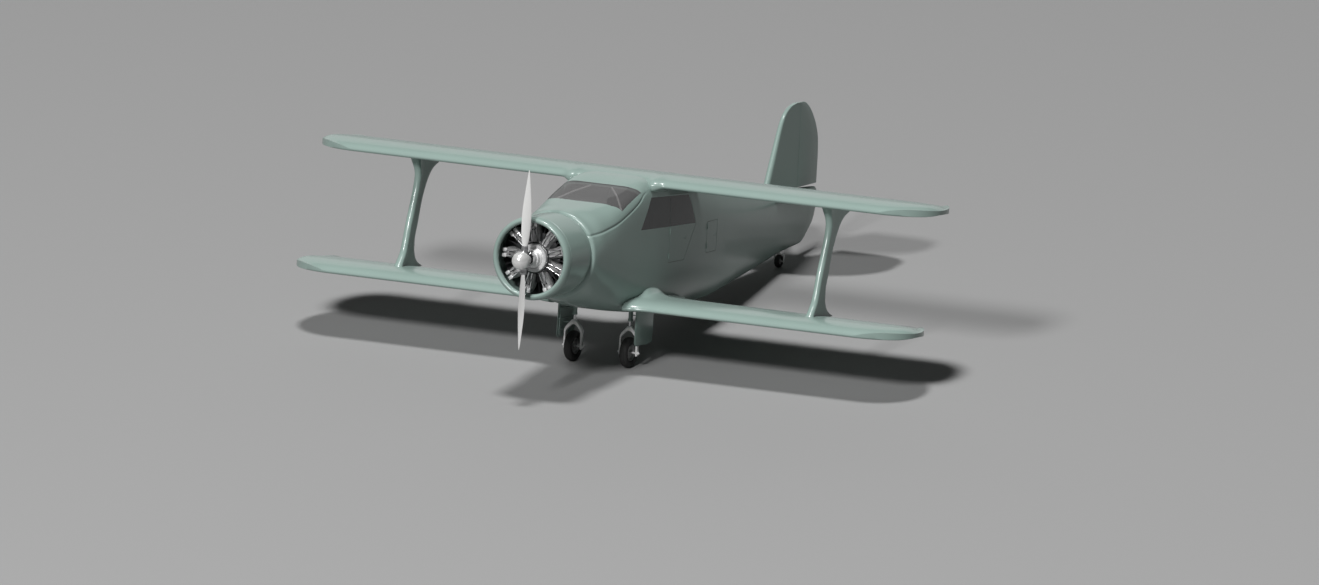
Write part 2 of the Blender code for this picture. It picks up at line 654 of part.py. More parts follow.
def tailplanes():
    """Each fixed tailplane and its elevator."""
    tip = TAILPLANE_ROWS[-1][0] - 0.004
    for side, word in ((1.0, "left"), (-1.0, "right")):
        rings = []
        for x, lead, _ in TAILPLANE_ROWS:
            place = (lambda t, y, h=side * x: (h, y, TAILPLANE_Z + t))
            rings.append(leaf_ring(place, lead, ELEVATOR_HINGE + 0.02, plane_half(x)))
        plane = loft("tailplane_" + word, rings)
        cove = []
        for x in (0.0, ELEVATOR_ROOT, 0.8, tip, tip + 0.1):
            r = plane_half(x) * 0.86 + SWING_GAP
            ring = [(side * x, ELEVATOR_HINGE, TAILPLANE_Z + 0.3),
                    (side * x, ELEVATOR_HINGE, TAILPLANE_Z + r)]
            for k in range(1, 8):
                a = math.pi * k / 8
                ring.append((side * x, ELEVATOR_HINGE - r * math.sin(a),
                             TAILPLANE_Z + r * math.cos(a)))
            ring += [(side * x, ELEVATOR_HINGE, TAILPLANE_Z - r),
                     (side * x, ELEVATOR_HINGE, TAILPLANE_Z - 0.3),
                     (side * x, 9.5, TAILPLANE_Z - 0.3), (side * x, 9.5, TAILPLANE_Z + 0.3)]
            cove.append(ring)
        cut(plane, loft("cove", cove), hull("skin", TAIL_STATIONS, -GAP))
        dress(plane, "paint", PAINT)

        rings = []
        rows = [(ELEVATOR_ROOT, 0, 9.170), (ELEVATOR_CORNER, 0, 9.654)]
        rows += [r for r in TAILPLANE_ROWS if ELEVATOR_CORNER < r[0] < tip]
        for x, _, trail in rows:
            r = plane_half(x) * 0.86
            ring = []
            for k in range(9):
                a = math.pi * k / 8
                ring.append((side * x, ELEVATOR_HINGE - r * math.sin(a),
                             TAILPLANE_Z + r * math.cos(a)))
            ring += [(side * x, trail, TAILPLANE_Z - 0.003),
                     (side * x, trail, TAILPLANE_Z + 0.003)]
            rings.append(ring)
        vane = loft("elevator_" + word, rings)
        fuse(vane, rod("tube", (side * ELEVATOR_TUBE, ELEVATOR_HINGE, TAILPLANE_Z),
                       (side * (ELEVATOR_ROOT + 0.02), ELEVATOR_HINGE, TAILPLANE_Z), 0.016, 12))
        centre_on(vane, (side * 0.8, ELEVATOR_HINGE, TAILPLANE_Z))
        dress(vane, "paint", PAINT)


ENGINE_TURN = math.radians(7.0)
CYLINDER_Y = 0.460
# distance out along a cylinder, radius of its barrel, fins and head
CYLINDER_ROWS = ((0.150, 0.058), (0.236, 0.058), (0.244, 0.076), (0.262, 0.076), (0.270, 0.060),
                 (0.290, 0.060), (0.298, 0.077), (0.316, 0.077), (0.324, 0.061), (0.346, 0.061),
                 (0.356, 0.084), (0.440, 0.088), (0.500, 0.082), (0.535, 0.050))
# distance out along a blade, chord, thickness, twist in degrees
BLADE_ROWS = ((0.080, 0.058, 0.056, 42), (0.178, 0.070, 0.054, 38), (0.260, 0.100, 0.040, 34),
              (0.345, 0.118, 0.032, 31), (0.483, 0.132, 0.024, 27), (0.620, 0.1345, 0.020, 23),
              (0.760, 0.122, 0.016, 20), (0.900, 0.098, 0.013, 17), (1.050, 0.066, 0.010, 14),
              (1.170, 0.041, 0.008, 12), (1.250, 0.022, 0.006, 11), (1.2875, 0.008, 0.004, 11))


def engine():
    """Cowling, nine-cylinder engine, propeller and spinner."""
    ring = lathe("cowling", ((0.225, 0.512), (0.190, 0.528), (0.178, 0.548), (0.190, 0.570),
                             (0.225, 0.588), (0.290, 0.599), (0.420, 0.604), (0.800, 0.601),
                             (0.9995, 0.588), (0.9995, 0.574), (0.420, 0.590),
                             (0.300, 0.570), (0.250, 0.535)), 32, (0, 0, 0))
    dress(ring, "paint", PAINT)

    case = lathe("engine", ((0.115, 0.0), (0.115, 0.062), (0.150, 0.085), (0.240, 0.105),
                            (0.300, 0.150), (0.350, 0.205), (0.400, 0.212), (0.470, 0.218),
                            (0.690, 0.218), (0.760, 0.170), (0.960, 0.170),
                            (0.985, 0.300), (0.9995, 0.300), (0.9995, 0.0)), 27, (0, 0, 0))
    for k in range(9):
        a = 2.0 * math.pi * k / 9 - ENGINE_TURN
        way = Vector((math.sin(a), 0.0, math.cos(a)))
        across = Vector((math.cos(a), 0.0, -math.sin(a)))
        aft = Vector((0.0, 1.0, 0.0))
        rings = []
        for along, radius in CYLINDER_ROWS:
            ring = []
            for m in range(8):
                b = 2.0 * math.pi * (m + 0.5) / 8
                ring.append(aft * CYLINDER_Y + way * along
                            + across * (radius * math.cos(b)) + aft * (radius * math.sin(b)))
            rings.append(ring)
        fuse(case, loft("cylinder", rings))
        rings = []
        for depth, wide, low, high in ((0.350, 0.052, 0.462, 0.502), (0.362, 0.066, 0.450, 0.512),
                                       (0.440, 0.070, 0.446, 0.520)):
            rings.append([across * u + way * v + aft * depth
                          for u, v in ((-wide, low), (wide, low), (wide, high), (-wide, high))])
        fuse(case, loft("rocker_box", rings))
        for side in (1.0, -1.0):
            fuse(case, rod("pushrod", across * (side * 0.024) + way * 0.175 + aft * 0.352,
                           across * (side * 0.048) + way * 0.470 + aft * 0.378, 0.0105, 6))
    dress(case, "engine_metal", METAL)

    hub = rod("hub", (0, 0, -0.125), (0, 0, 0.125), 0.058, 14)
    fuse(hub, lathe("barrel", ((-0.070, 0.0), (-0.070, 0.078), (0.075, 0.078), (0.100, 0.050),
                               (0.1145, 0.050), (0.1145, 0.0)), 18, (0, 0, 0)))
    for way in (1.0, -1.0):
        rings = []
        for r, chord, thick, twist in BLADE_ROWS:
            t = math.radians(twist)
            ring = []
            for m in range(10):
                b = 2.0 * math.pi * m / 10
                u, v = 0.5 * chord * math.cos(b), 0.5 * thick * math.sin(b)
                ring.append((way * (u * math.cos(t) - v * math.sin(t)),
                             u * math.sin(t) + v * math.cos(t), way * r))
            rings.append(ring)
        fuse(hub, loft("blade", rings))
    dress(hub, "propeller_metal", SILVER)
    hub.name = "propeller"

    dome = lathe("spinner", ((-0.250, 0.0), (-0.243, 0.040), (-0.220, 0.078), (-0.180, 0.110),
                             (-0.130, 0.130), (-0.084, 0.137), (-0.0705, 0.131),
                             (-0.0705, 0.0)), 24, (0, 0, 0))
    dress(dome, "spinner_metal", SILVER)


def tyre_profile(radius, inner, half):
    """Give a round-shouldered tyre's profile."""
    mid = 0.5 * (radius + inner)
    tall = 0.5 * (radius - inner)
    profile = []
    for k in range(10):
        a = 2.0 * math.pi * k / 10
        c, s = math.cos(a), math.sin(a)
        r = (abs(c) ** 2.4 + abs(s) ** 2.4) ** (-1 / 2.4)
        profile.append((half * r * s, mid + tall * r * c))
    return profile


def wheel(name, centre, radius, rim, half, bore, steps):
    """Make a tyre and the wheel it sits on, each about the axle."""
    y, z = centre[1:]
    tyre = lathe(name.replace("wheel", "tyre"), tyre_profile(radius, rim, half), steps,
                 (0, 0, 0), "x")
    tyre.location = centre
    tyre.rotation_euler = (PITCH, 0.0, 0.0)
    dress(tyre, "tyre_rubber", RUBBER)
    r = (rim - GAP) * math.cos(math.pi / steps)
    disc = lathe(name, ((-half * 0.78, bore), (-half * 0.78, bore * 2.4),
                         (-half * 0.30, bore * 3.0), (-half * 0.30, r * 0.84),
                         (-half * 0.74, r * 0.95), (-half * 0.74, r), (half * 0.74, r),
                         (half * 0.74, r * 0.95), (half * 0.30, r * 0.84),
                         (half * 0.30, bore * 3.0), (half * 0.78, bore * 2.4),
                         (half * 0.78, bore)), steps, (0, 0, 0), "x")
    disc.location = centre
    dress(disc, "wheel_metal", METAL)


def bar(name, points, widths):
    """Skin square-edged sections along a bent bar in the x-z plane."""
    rings = []
    for (x, y, z), (wide, deep) in zip(points, widths):
        rings.append([(x - wide, y - deep, z), (x + wide, y - deep, z),
                      (x + wide, y + deep, z), (x - wide, y + deep, z)])
    return loft(name, rings)


def landing_gear():
    """Main legs with forks and doors, the tail fork, and all three wheels."""
    y, z = AXLE
    for side, word in ((1.0, "left"), (-1.0, "right")):
        x = side * WHEEL_X
        leg = rod("main_leg_" + word, (x, y, -0.900), (x, y, z + 0.405), 0.032, 14)
        fuse(leg, rod("piston", (x, y, z + 0.440), (x, y, z + 0.300), 0.0205, 12))
        for way in (1.0, -1.0):
            points = ((x + way * 0.010, y, z + 0.352), (x + way * 0.052, y, z + 0.300),
                      (x + way * 0.112, y, z + 0.258), (x + way * 0.140, y, z + 0.215),
                      (x + way * 0.150, y, z - 0.045))
            widths = ((0.016, 0.030), (0.020, 0.028), (0.021, 0.026), (0.015, 0.025),
                      (0.014, 0.024))
            fuse(leg, bar("arm", points, widths))
        fuse(leg, rod("axle", (x - 0.176, y, z), (x + 0.176, y, z), 0.0125, 12))
        cut(leg, hull("skin", NOSE_STATIONS, -GAP))
        dress(leg, "gear_metal", SILVER)
        wheel("main_wheel_" + word, (x, y, z), MAIN_RADIUS, 0.118, 0.062, 0.0132, 24)

        low, high = sorted((side * 0.602, side * 0.626))
        flap = prism("leg_door_" + word, ((2.550, -0.700), (3.150, -0.700), (3.150, -1.290),
                                          (3.128, -1.365), (3.075, -1.412), (3.000, -1.428),
                                          (2.600, -1.428), (2.565, -1.410), (2.550, -1.375)),
                     "x", low, high)
        cut(flap, hull("skin", NOSE_STATIONS, -GAP),
            loft("skin", lower_rings(side, GAP), split=True))
        dress(flap, "paint", PAINT)

    y, z = TAIL_AXLE
    s = TAIL_SWIVEL_Y
    post = rod("tail_wheel_post", (0, s, -0.640), (0, s, -0.717), 0.030, 16)
    fuse(post, rod("pin", (0, s, -0.710), (0, s, -0.7365), 0.010, 14))
    cut(post, hull("skin", TAIL_STATIONS, -GAP))
    dress(post, "gear_metal", SILVER)
    fork = box("tail_wheel_fork", (-0.044, s - 0.030, -0.7385), (0.044, s + 0.098, -0.7225))
    for way in (1.0, -1.0):
        rings = []
        for x, back, high, deep in ((0.030, s + 0.060, -0.7305, 0.0060),
                                    (0.066, s + 0.050, -0.752, 0.013),
                                    (0.072, s + 0.040, -0.768, 0.013),
                                    (0.072, y, z - 0.018, 0.013)):
            rings.append([(way * x - 0.007, back - 0.014, high - deep * 0.5),
                          (way * x + 0.007, back - 0.014, high - deep * 0.5),
                          (way * x + 0.007, back + 0.014, high + deep * 0.5),
                          (way * x - 0.007, back + 0.014, high + deep * 0.5)])
        fuse(fork, loft("arm", rings))
    fuse(fork, rod("axle", (-0.086, y, z), (0.086, y, z), 0.008, 14))
    cut(fork, rod("bore", (0, s, -0.700), (0, s, -0.760), 0.0106, 14))
    centre_on(fork, (0, s, z))
    dress(fork, "gear_metal", SILVER)
    wheel("tail_wheel", (0, y, z), TAIL_RADIUS, 0.046, 0.038, 0.0086, 16)


FLOOR_TOP = -0.530


def inside_plate(name, low, high, label, look):
    """Make a plate that reaches the cabin's inner skin all round."""
    plate = hull(name, NOSE_STATIONS, WALL + 0.0006, first=1.030, last=5.470)
    span = box("span", low, high)
    combine(plate, span, "INTERSECT")
    return dress(plate, label, look)


def seat(name, x0, x1, y, back_lean, label, look):
    """Make one upholstered seat: base, cushion and leaning back in a single piece."""
    z = FLOOR_TOP + GAP
    outline = ((y, z), (y + 0.40, z), (y + 0.42, z + 0.24), (y + 0.56 + back_lean, z + 0.86),
               (y + 0.50 + back_lean, z + 0.93), (y + 0.43 + back_lean, z + 0.90),
               (y + 0.335, z + 0.42), (y + 0.06, z + 0.40), (y - 0.06, z + 0.42),
               (y - 0.08, z + 0.37), (y - 0.06, z + 0.30), (y, z + 0.27))
    made = prism(name, outline, "x", x0, x1)
    return dress(made, label, look)


def cabin():
    """Floor, rear bulkhead, instrument panel, seats and control column."""
    inside_plate("cabin_floor", (-1, 1.250, FLOOR_TOP - 0.022), (1, 4.520, FLOOR_TOP),
                 "dark_trim", TRIM)
    inside_plate("cabin_bulkhead", (-1, 4.500, FLOOR_TOP + GAP), (1, 4.525, 1.5),
                 "dark_trim", TRIM)
    inside_plate("instrument_panel", (-1, 1.850, 0.180), (1, 1.880, 0.600), "dark_trim", TRIM)
    seat("front_seat_left", 0.060, 0.520, 2.560, 0.0, "seat_cloth", CLOTH)
    seat("front_seat_right", -0.520, -0.060, 2.560, 0.0, "seat_cloth", CLOTH)
    seat("rear_bench", -0.560, 0.560, 3.640, 0.0, "seat_cloth", CLOTH)
    column = rod("control_column", (0, 2.250, FLOOR_TOP - 0.020), (0, 2.080, 0.130), 0.022, 12)
    cut(column, box("under", (-0.2, 2.0, -0.8), (0.2, 2.5, FLOOR_TOP + GAP)))
    fuse(column, rod("arm", (-0.020, 2.090, 0.115), (0.290, 2.150, 0.120), 0.016, 12))
    hoop = lathe("hoop", ((0.0, 0.125), (0.010, 0.135), (0.0, 0.145), (-0.010, 0.135)), 14,
                 (0.290, 2.180, 0.120))
    fuse(hoop, rod("spoke", (0.160, 2.180, 0.120), (0.420, 2.180, 0.120), 0.009, 10))
    fuse(column, rod("shaft", (0.290, 2.130, 0.120), (0.290, 2.190, 0.120), 0.020, 12), hoop)
    dress(column, "dark_trim", TRIM)


def main():
    """Draw every piece and set the aircraft on the ground."""
    clear_scene()
    stand = bpy.data.objects.new("attitude", None)
    bpy.context.scene.collection.objects.link(stand)
    wings()
    struts()
    fuselage()
    cabin()
    fin_and_rudder()
    tailplanes()
    engine()
    landing_gear()
    stand.rotation_euler = (-PITCH, 0.0, 0.0)
    stand.location = (0.0, HUB_AFT, HUB_HEIGHT)


main()
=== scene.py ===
"""Looks of a cabin biplane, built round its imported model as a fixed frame."""
import json
import logging
from bisect import bisect_right
from dataclasses import dataclass
from enum import Enum
from functools import cached_property
from math import asin, ceil, copysign, cos, exp, pi, radians, sin, sqrt
from typing import Callable, Iterable, Sequence

import bmesh
import bpy
from mathutils import Matrix, Vector

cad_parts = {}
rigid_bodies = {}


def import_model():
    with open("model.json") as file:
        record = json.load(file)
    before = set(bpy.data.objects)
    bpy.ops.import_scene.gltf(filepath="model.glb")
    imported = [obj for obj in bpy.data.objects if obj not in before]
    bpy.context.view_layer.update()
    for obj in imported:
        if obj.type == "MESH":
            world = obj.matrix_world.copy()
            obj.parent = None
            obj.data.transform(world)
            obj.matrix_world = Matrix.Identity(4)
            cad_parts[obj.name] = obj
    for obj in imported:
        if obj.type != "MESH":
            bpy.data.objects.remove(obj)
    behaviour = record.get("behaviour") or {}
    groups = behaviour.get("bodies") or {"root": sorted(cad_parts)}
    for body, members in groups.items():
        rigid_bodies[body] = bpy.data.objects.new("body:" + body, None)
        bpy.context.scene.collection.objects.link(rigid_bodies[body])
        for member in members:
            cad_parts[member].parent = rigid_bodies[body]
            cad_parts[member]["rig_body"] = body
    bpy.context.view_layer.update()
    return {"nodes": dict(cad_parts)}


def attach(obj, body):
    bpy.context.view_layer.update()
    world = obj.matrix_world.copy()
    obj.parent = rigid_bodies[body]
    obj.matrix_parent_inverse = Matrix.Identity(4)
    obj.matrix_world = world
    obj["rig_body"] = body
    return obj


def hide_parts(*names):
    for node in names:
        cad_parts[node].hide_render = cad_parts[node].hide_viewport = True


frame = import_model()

LOG = logging.getLogger("biplane")
IMAGE = (1319, 585)
PITCH = radians(8.0)
AXLE = (2.757, -1.546)
MAIN_RADIUS = 0.22
HUB_HEIGHT = MAIN_RADIUS + AXLE[0] * sin(PITCH) - AXLE[1] * cos(PITCH)
HUB_AFT = -4.7803
ATTITUDE = Matrix.Translation((0.0, HUB_AFT, HUB_HEIGHT)) @ Matrix.Rotation(-PITCH, 4, "X")
SIDES = ((1.0, "left"), (-1.0, "right"))
DOOR_GAP = 0.006
SWING_GAP = 0.0065
GLASS = 0.0065
WALL = 0.035
QUARTER = 0.5 * pi
BOTH = (1.0, -1.0)
# the axis and the stretch of it that a cut through the skin takes
LEFT_SKIN = ("x", 0.4, 1.0)
RIGHT_SKIN = ("x", -1.0, -0.4)
ROOF_SKIN = ("z", 0.35, 1.2)
Bm = bmesh.types.BMesh
Thing = bpy.types.Object
Pair = tuple[float, float]
Triple = tuple[float, float, float]
Ring = list[Vector]
Outline = Sequence[Pair]

# y, half width, top, widest height, bottom, squareness above, squareness below
HULL_STATIONS = (
    (1.0, 0.574, 0.574, 0.0, -0.59, 2.1, 2.1), (1.005, 0.6, 0.592, 0.0, -0.616, 2.1, 2.1),
    (1.014, 0.618, 0.606, 0.0, -0.636, 2.1, 2.1), (1.032, 0.629, 0.616, 0.0, -0.65, 2.1, 2.1),
    (1.07, 0.637, 0.622, 0.0, -0.662, 2.1, 2.1), (1.13, 0.643, 0.629, 0.0, -0.682, 2.2, 2.2),
    (1.25, 0.648, 0.642, 0.0, -0.712, 2.6, 2.4), (1.5, 0.655, 0.664, 0.0, -0.77, 3.3, 2.7),
    (1.75, 0.664, 0.69, 0.0, -0.828, 4.5, 3.1), (2.1, 0.67, 0.778, -0.04, -0.895, 6.0, 3.8),
    (2.45, 0.673, 0.868, -0.08, -0.945, 7.0, 4.5), (2.61, 0.674, 0.916, -0.09, -0.963, 6.8, 4.8),
    (2.79, 0.675, 0.954, -0.1, -0.984, 6.5, 5.0), (3.0, 0.675, 0.968, -0.11, -1.005, 6.0, 5.0),
    (3.37, 0.675, 0.925, -0.12, -1.038, 5.5, 4.8), (4.0, 0.665, 0.885, -0.12, -1.07, 4.8, 4.0),
    (4.4, 0.65, 0.855, -0.12, -1.083, 4.3, 3.5), (4.9, 0.62, 0.786, -0.13, -1.09, 3.7, 3.1),
    (5.5, 0.57, 0.698, -0.15, -1.088, 3.1, 2.8), (6.1, 0.502, 0.602, -0.17, -1.045, 2.8, 2.6),
    (6.7, 0.423, 0.506, -0.2, -0.97, 2.6, 2.4), (7.4, 0.32, 0.396, -0.22, -0.885, 2.4, 2.3),
    (8.05, 0.222, 0.3, -0.24, -0.795, 2.3, 2.2), (8.6, 0.146, 0.226, -0.25, -0.712, 2.2, 2.2),
    (9.08, 0.09, 0.19, -0.24, -0.666, 2.2, 2.1), (9.35, 0.062, 0.18, -0.22, -0.638, 2.1, 2.0),
    (9.6, 0.04, 0.168, -0.16, -0.48, 2.0, 2.0), (9.77, 0.022, 0.15, -0.06, -0.32, 2.0, 2.0),
    (9.83, 0.01, 0.11, -0.03, -0.18, 2.0, 2.0),
)
# y and height of the moulding that runs from the cowling's side up to the wing
CREASE_LINE = ((1.0, 0.282), (1.2, 0.302), (1.61, 0.373), (2.02, 0.5), (2.4, 0.65), (2.58, 0.75),
               (2.9, 0.8), (3.6, 0.76), (4.4, 0.69), (5.5, 0.52), (7.4, 0.28), (8.6, 0.15),
               (9.35, 0.12), (9.83, 0.06))
AIRFOIL = ((0.0, -0.4, 0.6), (0.004, -0.2, 0.84), (0.014, 0.02, 0.96), (0.04, 0.33, 1.06),
           (0.09, 0.64, 1.16), (0.17, 0.89, 1.2), (0.28, 1.02, 1.18), (0.42, 1.0, 1.08),
           (0.58, 0.83, 0.85), (0.77, 0.475, 0.475), (1.0, 0.022, 0.022))
# distance out, shifts of both edges, thickness shares above and below, fillet height
UPPER_ROOT = ((0.0, 0.0, 0.0, 1.0, 1.0, 0.0), (0.53, 0.0, 0.0, 1.0, 1.0, 0.0),
              (0.59, -0.045, 0.0, 1.02, 1.5, 0.0), (0.65, -0.076, 0.0, 1.04, 1.85, 0.0),
              (0.71, -0.05, 0.0, 1.02, 1.5, 0.0), (0.8, -0.004, 0.0, 1.0, 1.02, 0.0),
              (4.15, 0.0, 0.0, 1.0, 1.0, 0.0))
LOWER_ROOT = ((0.56, -0.075, 0.3, 1.2, 1.25, 0.125), (0.69, -0.062, 0.23, 1.15, 1.15, 0.095),
              (0.76, -0.035, 0.13, 1.08, 1.08, 0.036), (0.86, -0.012, 0.045, 1.03, 1.02, 0.009),
              (0.98, 0.0, 0.0, 1.0, 1.0, 0.0), (4.15, 0.0, 0.0, 1.0, 1.0, 0.0))
# height, leading edge, trailing edge, thickness
STRUT_ROWS = ((-0.775, 2.6, 3.5, 0.15), (-0.735, 2.64, 3.4, 0.118), (-0.69, 2.68, 3.32, 0.1),
              (-0.627, 2.733, 3.26, 0.092), (-0.507, 2.822, 3.215, 0.088),
              (-0.382, 2.865, 3.212, 0.086), (-0.13, 2.94, 3.285, 0.086),
              (0.18, 3.056, 3.375, 0.086), (0.418, 3.135, 3.494, 0.086),
              (0.552, 3.158, 3.598, 0.088), (0.648, 3.135, 3.735, 0.092),
              (0.697, 3.105, 3.877, 0.098), (0.76, 3.06, 3.92, 0.112), (0.845, 3.01, 3.93, 0.14),
              (0.88, 2.99, 3.93, 0.165))
# height, leading edge of the fin, trailing edge of the rudder
FIN_ROWS = ((0.1, 7.96, 9.815), (0.197, 8.0, 9.815), (0.32, 8.05, 9.815), (0.6, 8.173, 9.812),
            (0.85, 8.283, 9.785), (1.05, 8.372, 9.7), (1.18, 8.44, 9.605), (1.29, 8.52, 9.5),
            (1.37, 8.625, 9.395), (1.425, 8.77, 9.285), (1.448, 8.92, 9.19))
# distance out, leading edge, trailing edge of tailplane and elevator
TAILPLANE_ROWS = ((0.06, 8.02, 9.65), (0.3, 8.045, 9.655), (0.6, 8.115, 9.655), (0.9, 8.235, 9.655),
                  (1.15, 8.385, 9.64), (1.32, 8.54, 9.6), (1.43, 8.69, 9.53), (1.5, 8.85, 9.42),
                  (1.53, 8.98, 9.3))
# distance out along a blade, chord, thickness, twist in degrees
BLADE_ROWS = ((0.15, 0.062, 0.058, 40), (0.178, 0.068, 0.054, 38), (0.26, 0.1, 0.04, 34),
              (0.345, 0.118, 0.032, 31), (0.483, 0.132, 0.024, 27), (0.62, 0.1345, 0.02, 23),
              (0.76, 0.122, 0.016, 20), (0.9, 0.098, 0.013, 17), (1.05, 0.066, 0.01, 14),
              (1.17, 0.041, 0.008, 12), (1.25, 0.022, 0.006, 11), (1.2875, 0.008, 0.004, 11))
# place along the shaft and radius of the engine's case
CASE_PROFILE = ((0.15, 0.0), (0.15, 0.088), (0.163, 0.096), (0.218, 0.099), (0.222, 0.116),
                (0.238, 0.118), (0.243, 0.101), (0.262, 0.104), (0.28, 0.12), (0.288, 0.138),
                (0.305, 0.141), (0.308, 0.148), (0.298, 0.153), (0.296, 0.192), (0.304, 0.201),
                (0.318, 0.204), (0.336, 0.205), (0.342, 0.19), (0.356, 0.19), (0.362, 0.212),
                (0.4, 0.216), (0.69, 0.218), (0.76, 0.17), (0.96, 0.17), (0.985, 0.3),
                (0.9995, 0.3), (0.9995, 0.0))
WINDSHIELD = ((-0.61, 1.884), (-0.482, 1.789), (-0.363, 1.762), (-0.23, 1.733), (0.0, 1.723),
              (0.23, 1.733), (0.363, 1.762), (0.482, 1.789), (0.61, 1.884), (0.605, 2.491),
              (0.465, 2.441), (0.0, 2.436), (-0.465, 2.441), (-0.605, 2.491))
SIDE_WINDOW = ((2.43, 0.27), (4.32, 0.2), (4.09, 0.63), (2.75, 0.71))
FRONT_PANE = ((2.43, 0.27), (3.4, 0.2341), (3.4, 0.6712), (2.75, 0.71))
DOOR_PANE = ((3.4, 0.2341), (4.32, 0.2), (4.09, 0.63), (3.4, 0.6712))
DOOR = ((3.4, -0.29), (3.94, -0.3), (4.332, 0.2), (4.102, 0.655), (3.4, 0.7))
BAGGAGE = ((4.77, -0.285), (5.18, -0.285), (5.18, 0.17), (4.77, 0.17))


class Wear(Enum):
    """Named shader groups that finishes share."""

    ENAMEL = "enamel_wear"
    CAST = "cast_grain"
    BRUSHED = "brushed_grain"
    RUBBER = "rubber_grain"
    CLOTH = "cloth_weave"


class Cut(Enum):
    """What an exact boolean does with its tool."""

    REMOVE = "DIFFERENCE"
    KEEP = "INTERSECT"


@dataclass(frozen=True)
class Fair:
    """A fair curve through a table's rows, placed by their first number, with no overshoot."""

    rows: tuple[tuple[float, ...], ...]

    @cached_property
    def slopes(self) -> list[list[float]]:
        """Give each column's slope at each row, from the rises on both sides of it.

        Returns:
            A list of slopes for each column.
        """
        steps = [b[0] - a[0] for a, b in zip(self.rows, self.rows[1:])]
        result = []
        for column in range(1, len(self.rows[0])):
            rise = [(b[column] - a[column]) / h for a, b, h in zip(self.rows, self.rows[1:], steps)]
            slope = [rise[0]]
            for p, q, h, g in zip(rise, rise[1:], steps, steps[1:]):
                level = p * q <= 0.0
                slope.append(0.0 if level else 3.0 * (h + g) / ((2 * g + h) / p + (g + 2 * h) / q))
            result.append(slope + [rise[-1]])
        return result

    @cached_property
    def marks(self) -> list[float]:
        """List the first numbers of the rows."""
        return [row[0] for row in self.rows]

    def at(self, where: float) -> list[float]:
        """Read every column at one place.

        Args:
            where: the place, held between the first and the last row.

        Returns:
            The columns' values.
        """
        where = min(max(where, self.marks[0]), self.marks[-1])
        i = min(bisect_right(self.marks, where) - 1, len(self.rows) - 2)
        near, far = self.rows[i], self.rows[i + 1]
        h = far[0] - near[0]
        t = (where - near[0]) / h
        s = 1.0 - t
        return [near[c] * (1.0 + 2.0 * t) * s * s + far[c] * t * t * (3.0 - 2.0 * t)
                + h * (slope[i] * t * s * s - slope[i + 1] * t * t * s)
                for c, slope in enumerate(self.slopes, start=1)]


PROFILE = Fair(tuple((sqrt(f), up, down) for f, up, down in AIRFOIL))


def spaced(first: float, last: float, count: int) -> list[float]:
    """List evenly spaced numbers, both ends among them.

    Args:
        first: the first number.
        last: the last number.
        count: how many steps lie between them.

    Returns:
        The numbers, one more than the steps.
    """
    return [first + (last - first) * k / count for k in range(count + 1)]


def unit(value: float) -> float:
    """Hold a number between 0 and 1."""
    return max(0.0, min(1.0, value))


def spoke(angle: float) -> Vector:
    """Point out from the y axis, at an angle from straight up."""
    return Vector((sin(angle), 0.0, cos(angle)))


def turns(count: int) -> list[float]:
    """List the angles of a full turn in equal steps, without its end."""
    return spaced(0.0, 2.0 * pi, count)[:-1]


def halved(low: float, high: float, short: Callable[[float], bool]) -> float:
    """Close in on a place by halving.

    Args:
        low: a value short of it.
        high: a value past it.
        short: says whether a value is still short of it.

    Returns:
        The place.
    """
    for _ in range(22):
        mid = 0.5 * (low + high)
        low, high = (mid, high) if short(mid) else (low, mid)
    return 0.5 * (low + high)


def arc(y: float, z: float, r: float, angles: Iterable[float]) -> list[Pair]:
    """List points of a circle round a middle, at some angles."""
    return [(y + r * cos(a), z + r * sin(a)) for a in angles]


def smooth_path(points: Iterable[Sequence[float]], steps: int = 6) -> list[Vector]:
    """Draw a smooth line through points, by the length between them.

    Args:
        points: the points, in order.
        steps: how many pieces each stretch gets.

    Returns:
        The finer points.
    """
    spots = [Vector(p) for p in points]
    lengths = [0.0]
    for a, b in zip(spots, spots[1:]):
        lengths.append(lengths[-1] + max((b - a).length, 1e-6))
    tangents = []
    for i in range(len(spots)):
        j, k = max(i - 1, 0), min(i + 1, len(spots) - 1)
        tangents.append((spots[k] - spots[j]) / (lengths[k] - lengths[j]))
    result = []
    for i in range(len(spots) - 1):
        h = lengths[i + 1] - lengths[i]
        for m in range(steps):
            t = m / steps
            s = 1.0 - t
            result.append(spots[i] * ((1 + 2 * t) * s * s) + spots[i + 1] * (t * t * (3 - 2 * t))
                          + tangents[i] * (h * t * s * s) - tangents[i + 1] * (h * t * t * s))
    return result + [spots[-1]]


def faced(bm: Bm) -> Bm:
    """Turn a closed mesh's faces outward."""
    bmesh.ops.recalc_face_normals(bm, faces=bm.faces)
    return bm


def skin(bm: Bm, rings: Sequence[Sequence[Vector]]) -> Bm:
    """Lay a grid over a row of closed rings, join its seam and close both ends.

    Args:
        bm: the mesh that gets the skin.
        rings: rings of the same count.

    Returns:
        The mesh.
    """
    across, along = len(rings[0]), len(rings) - 1
    made = bmesh.ops.create_grid(bm, x_segments=across, y_segments=along, size=0.5)["verts"]
    for vert in made:
        column = round((vert.co.x + 0.5) * across) % across
        vert.co = rings[round((vert.co.y + 0.5) * along)][column]
    bmesh.ops.remove_doubles(bm, verts=made, dist=1e-6)
    loose = [edge for edge in bm.edges if edge.is_boundary]
    bmesh.ops.holes_fill(bm, edges=loose, sides=0)
    return bm


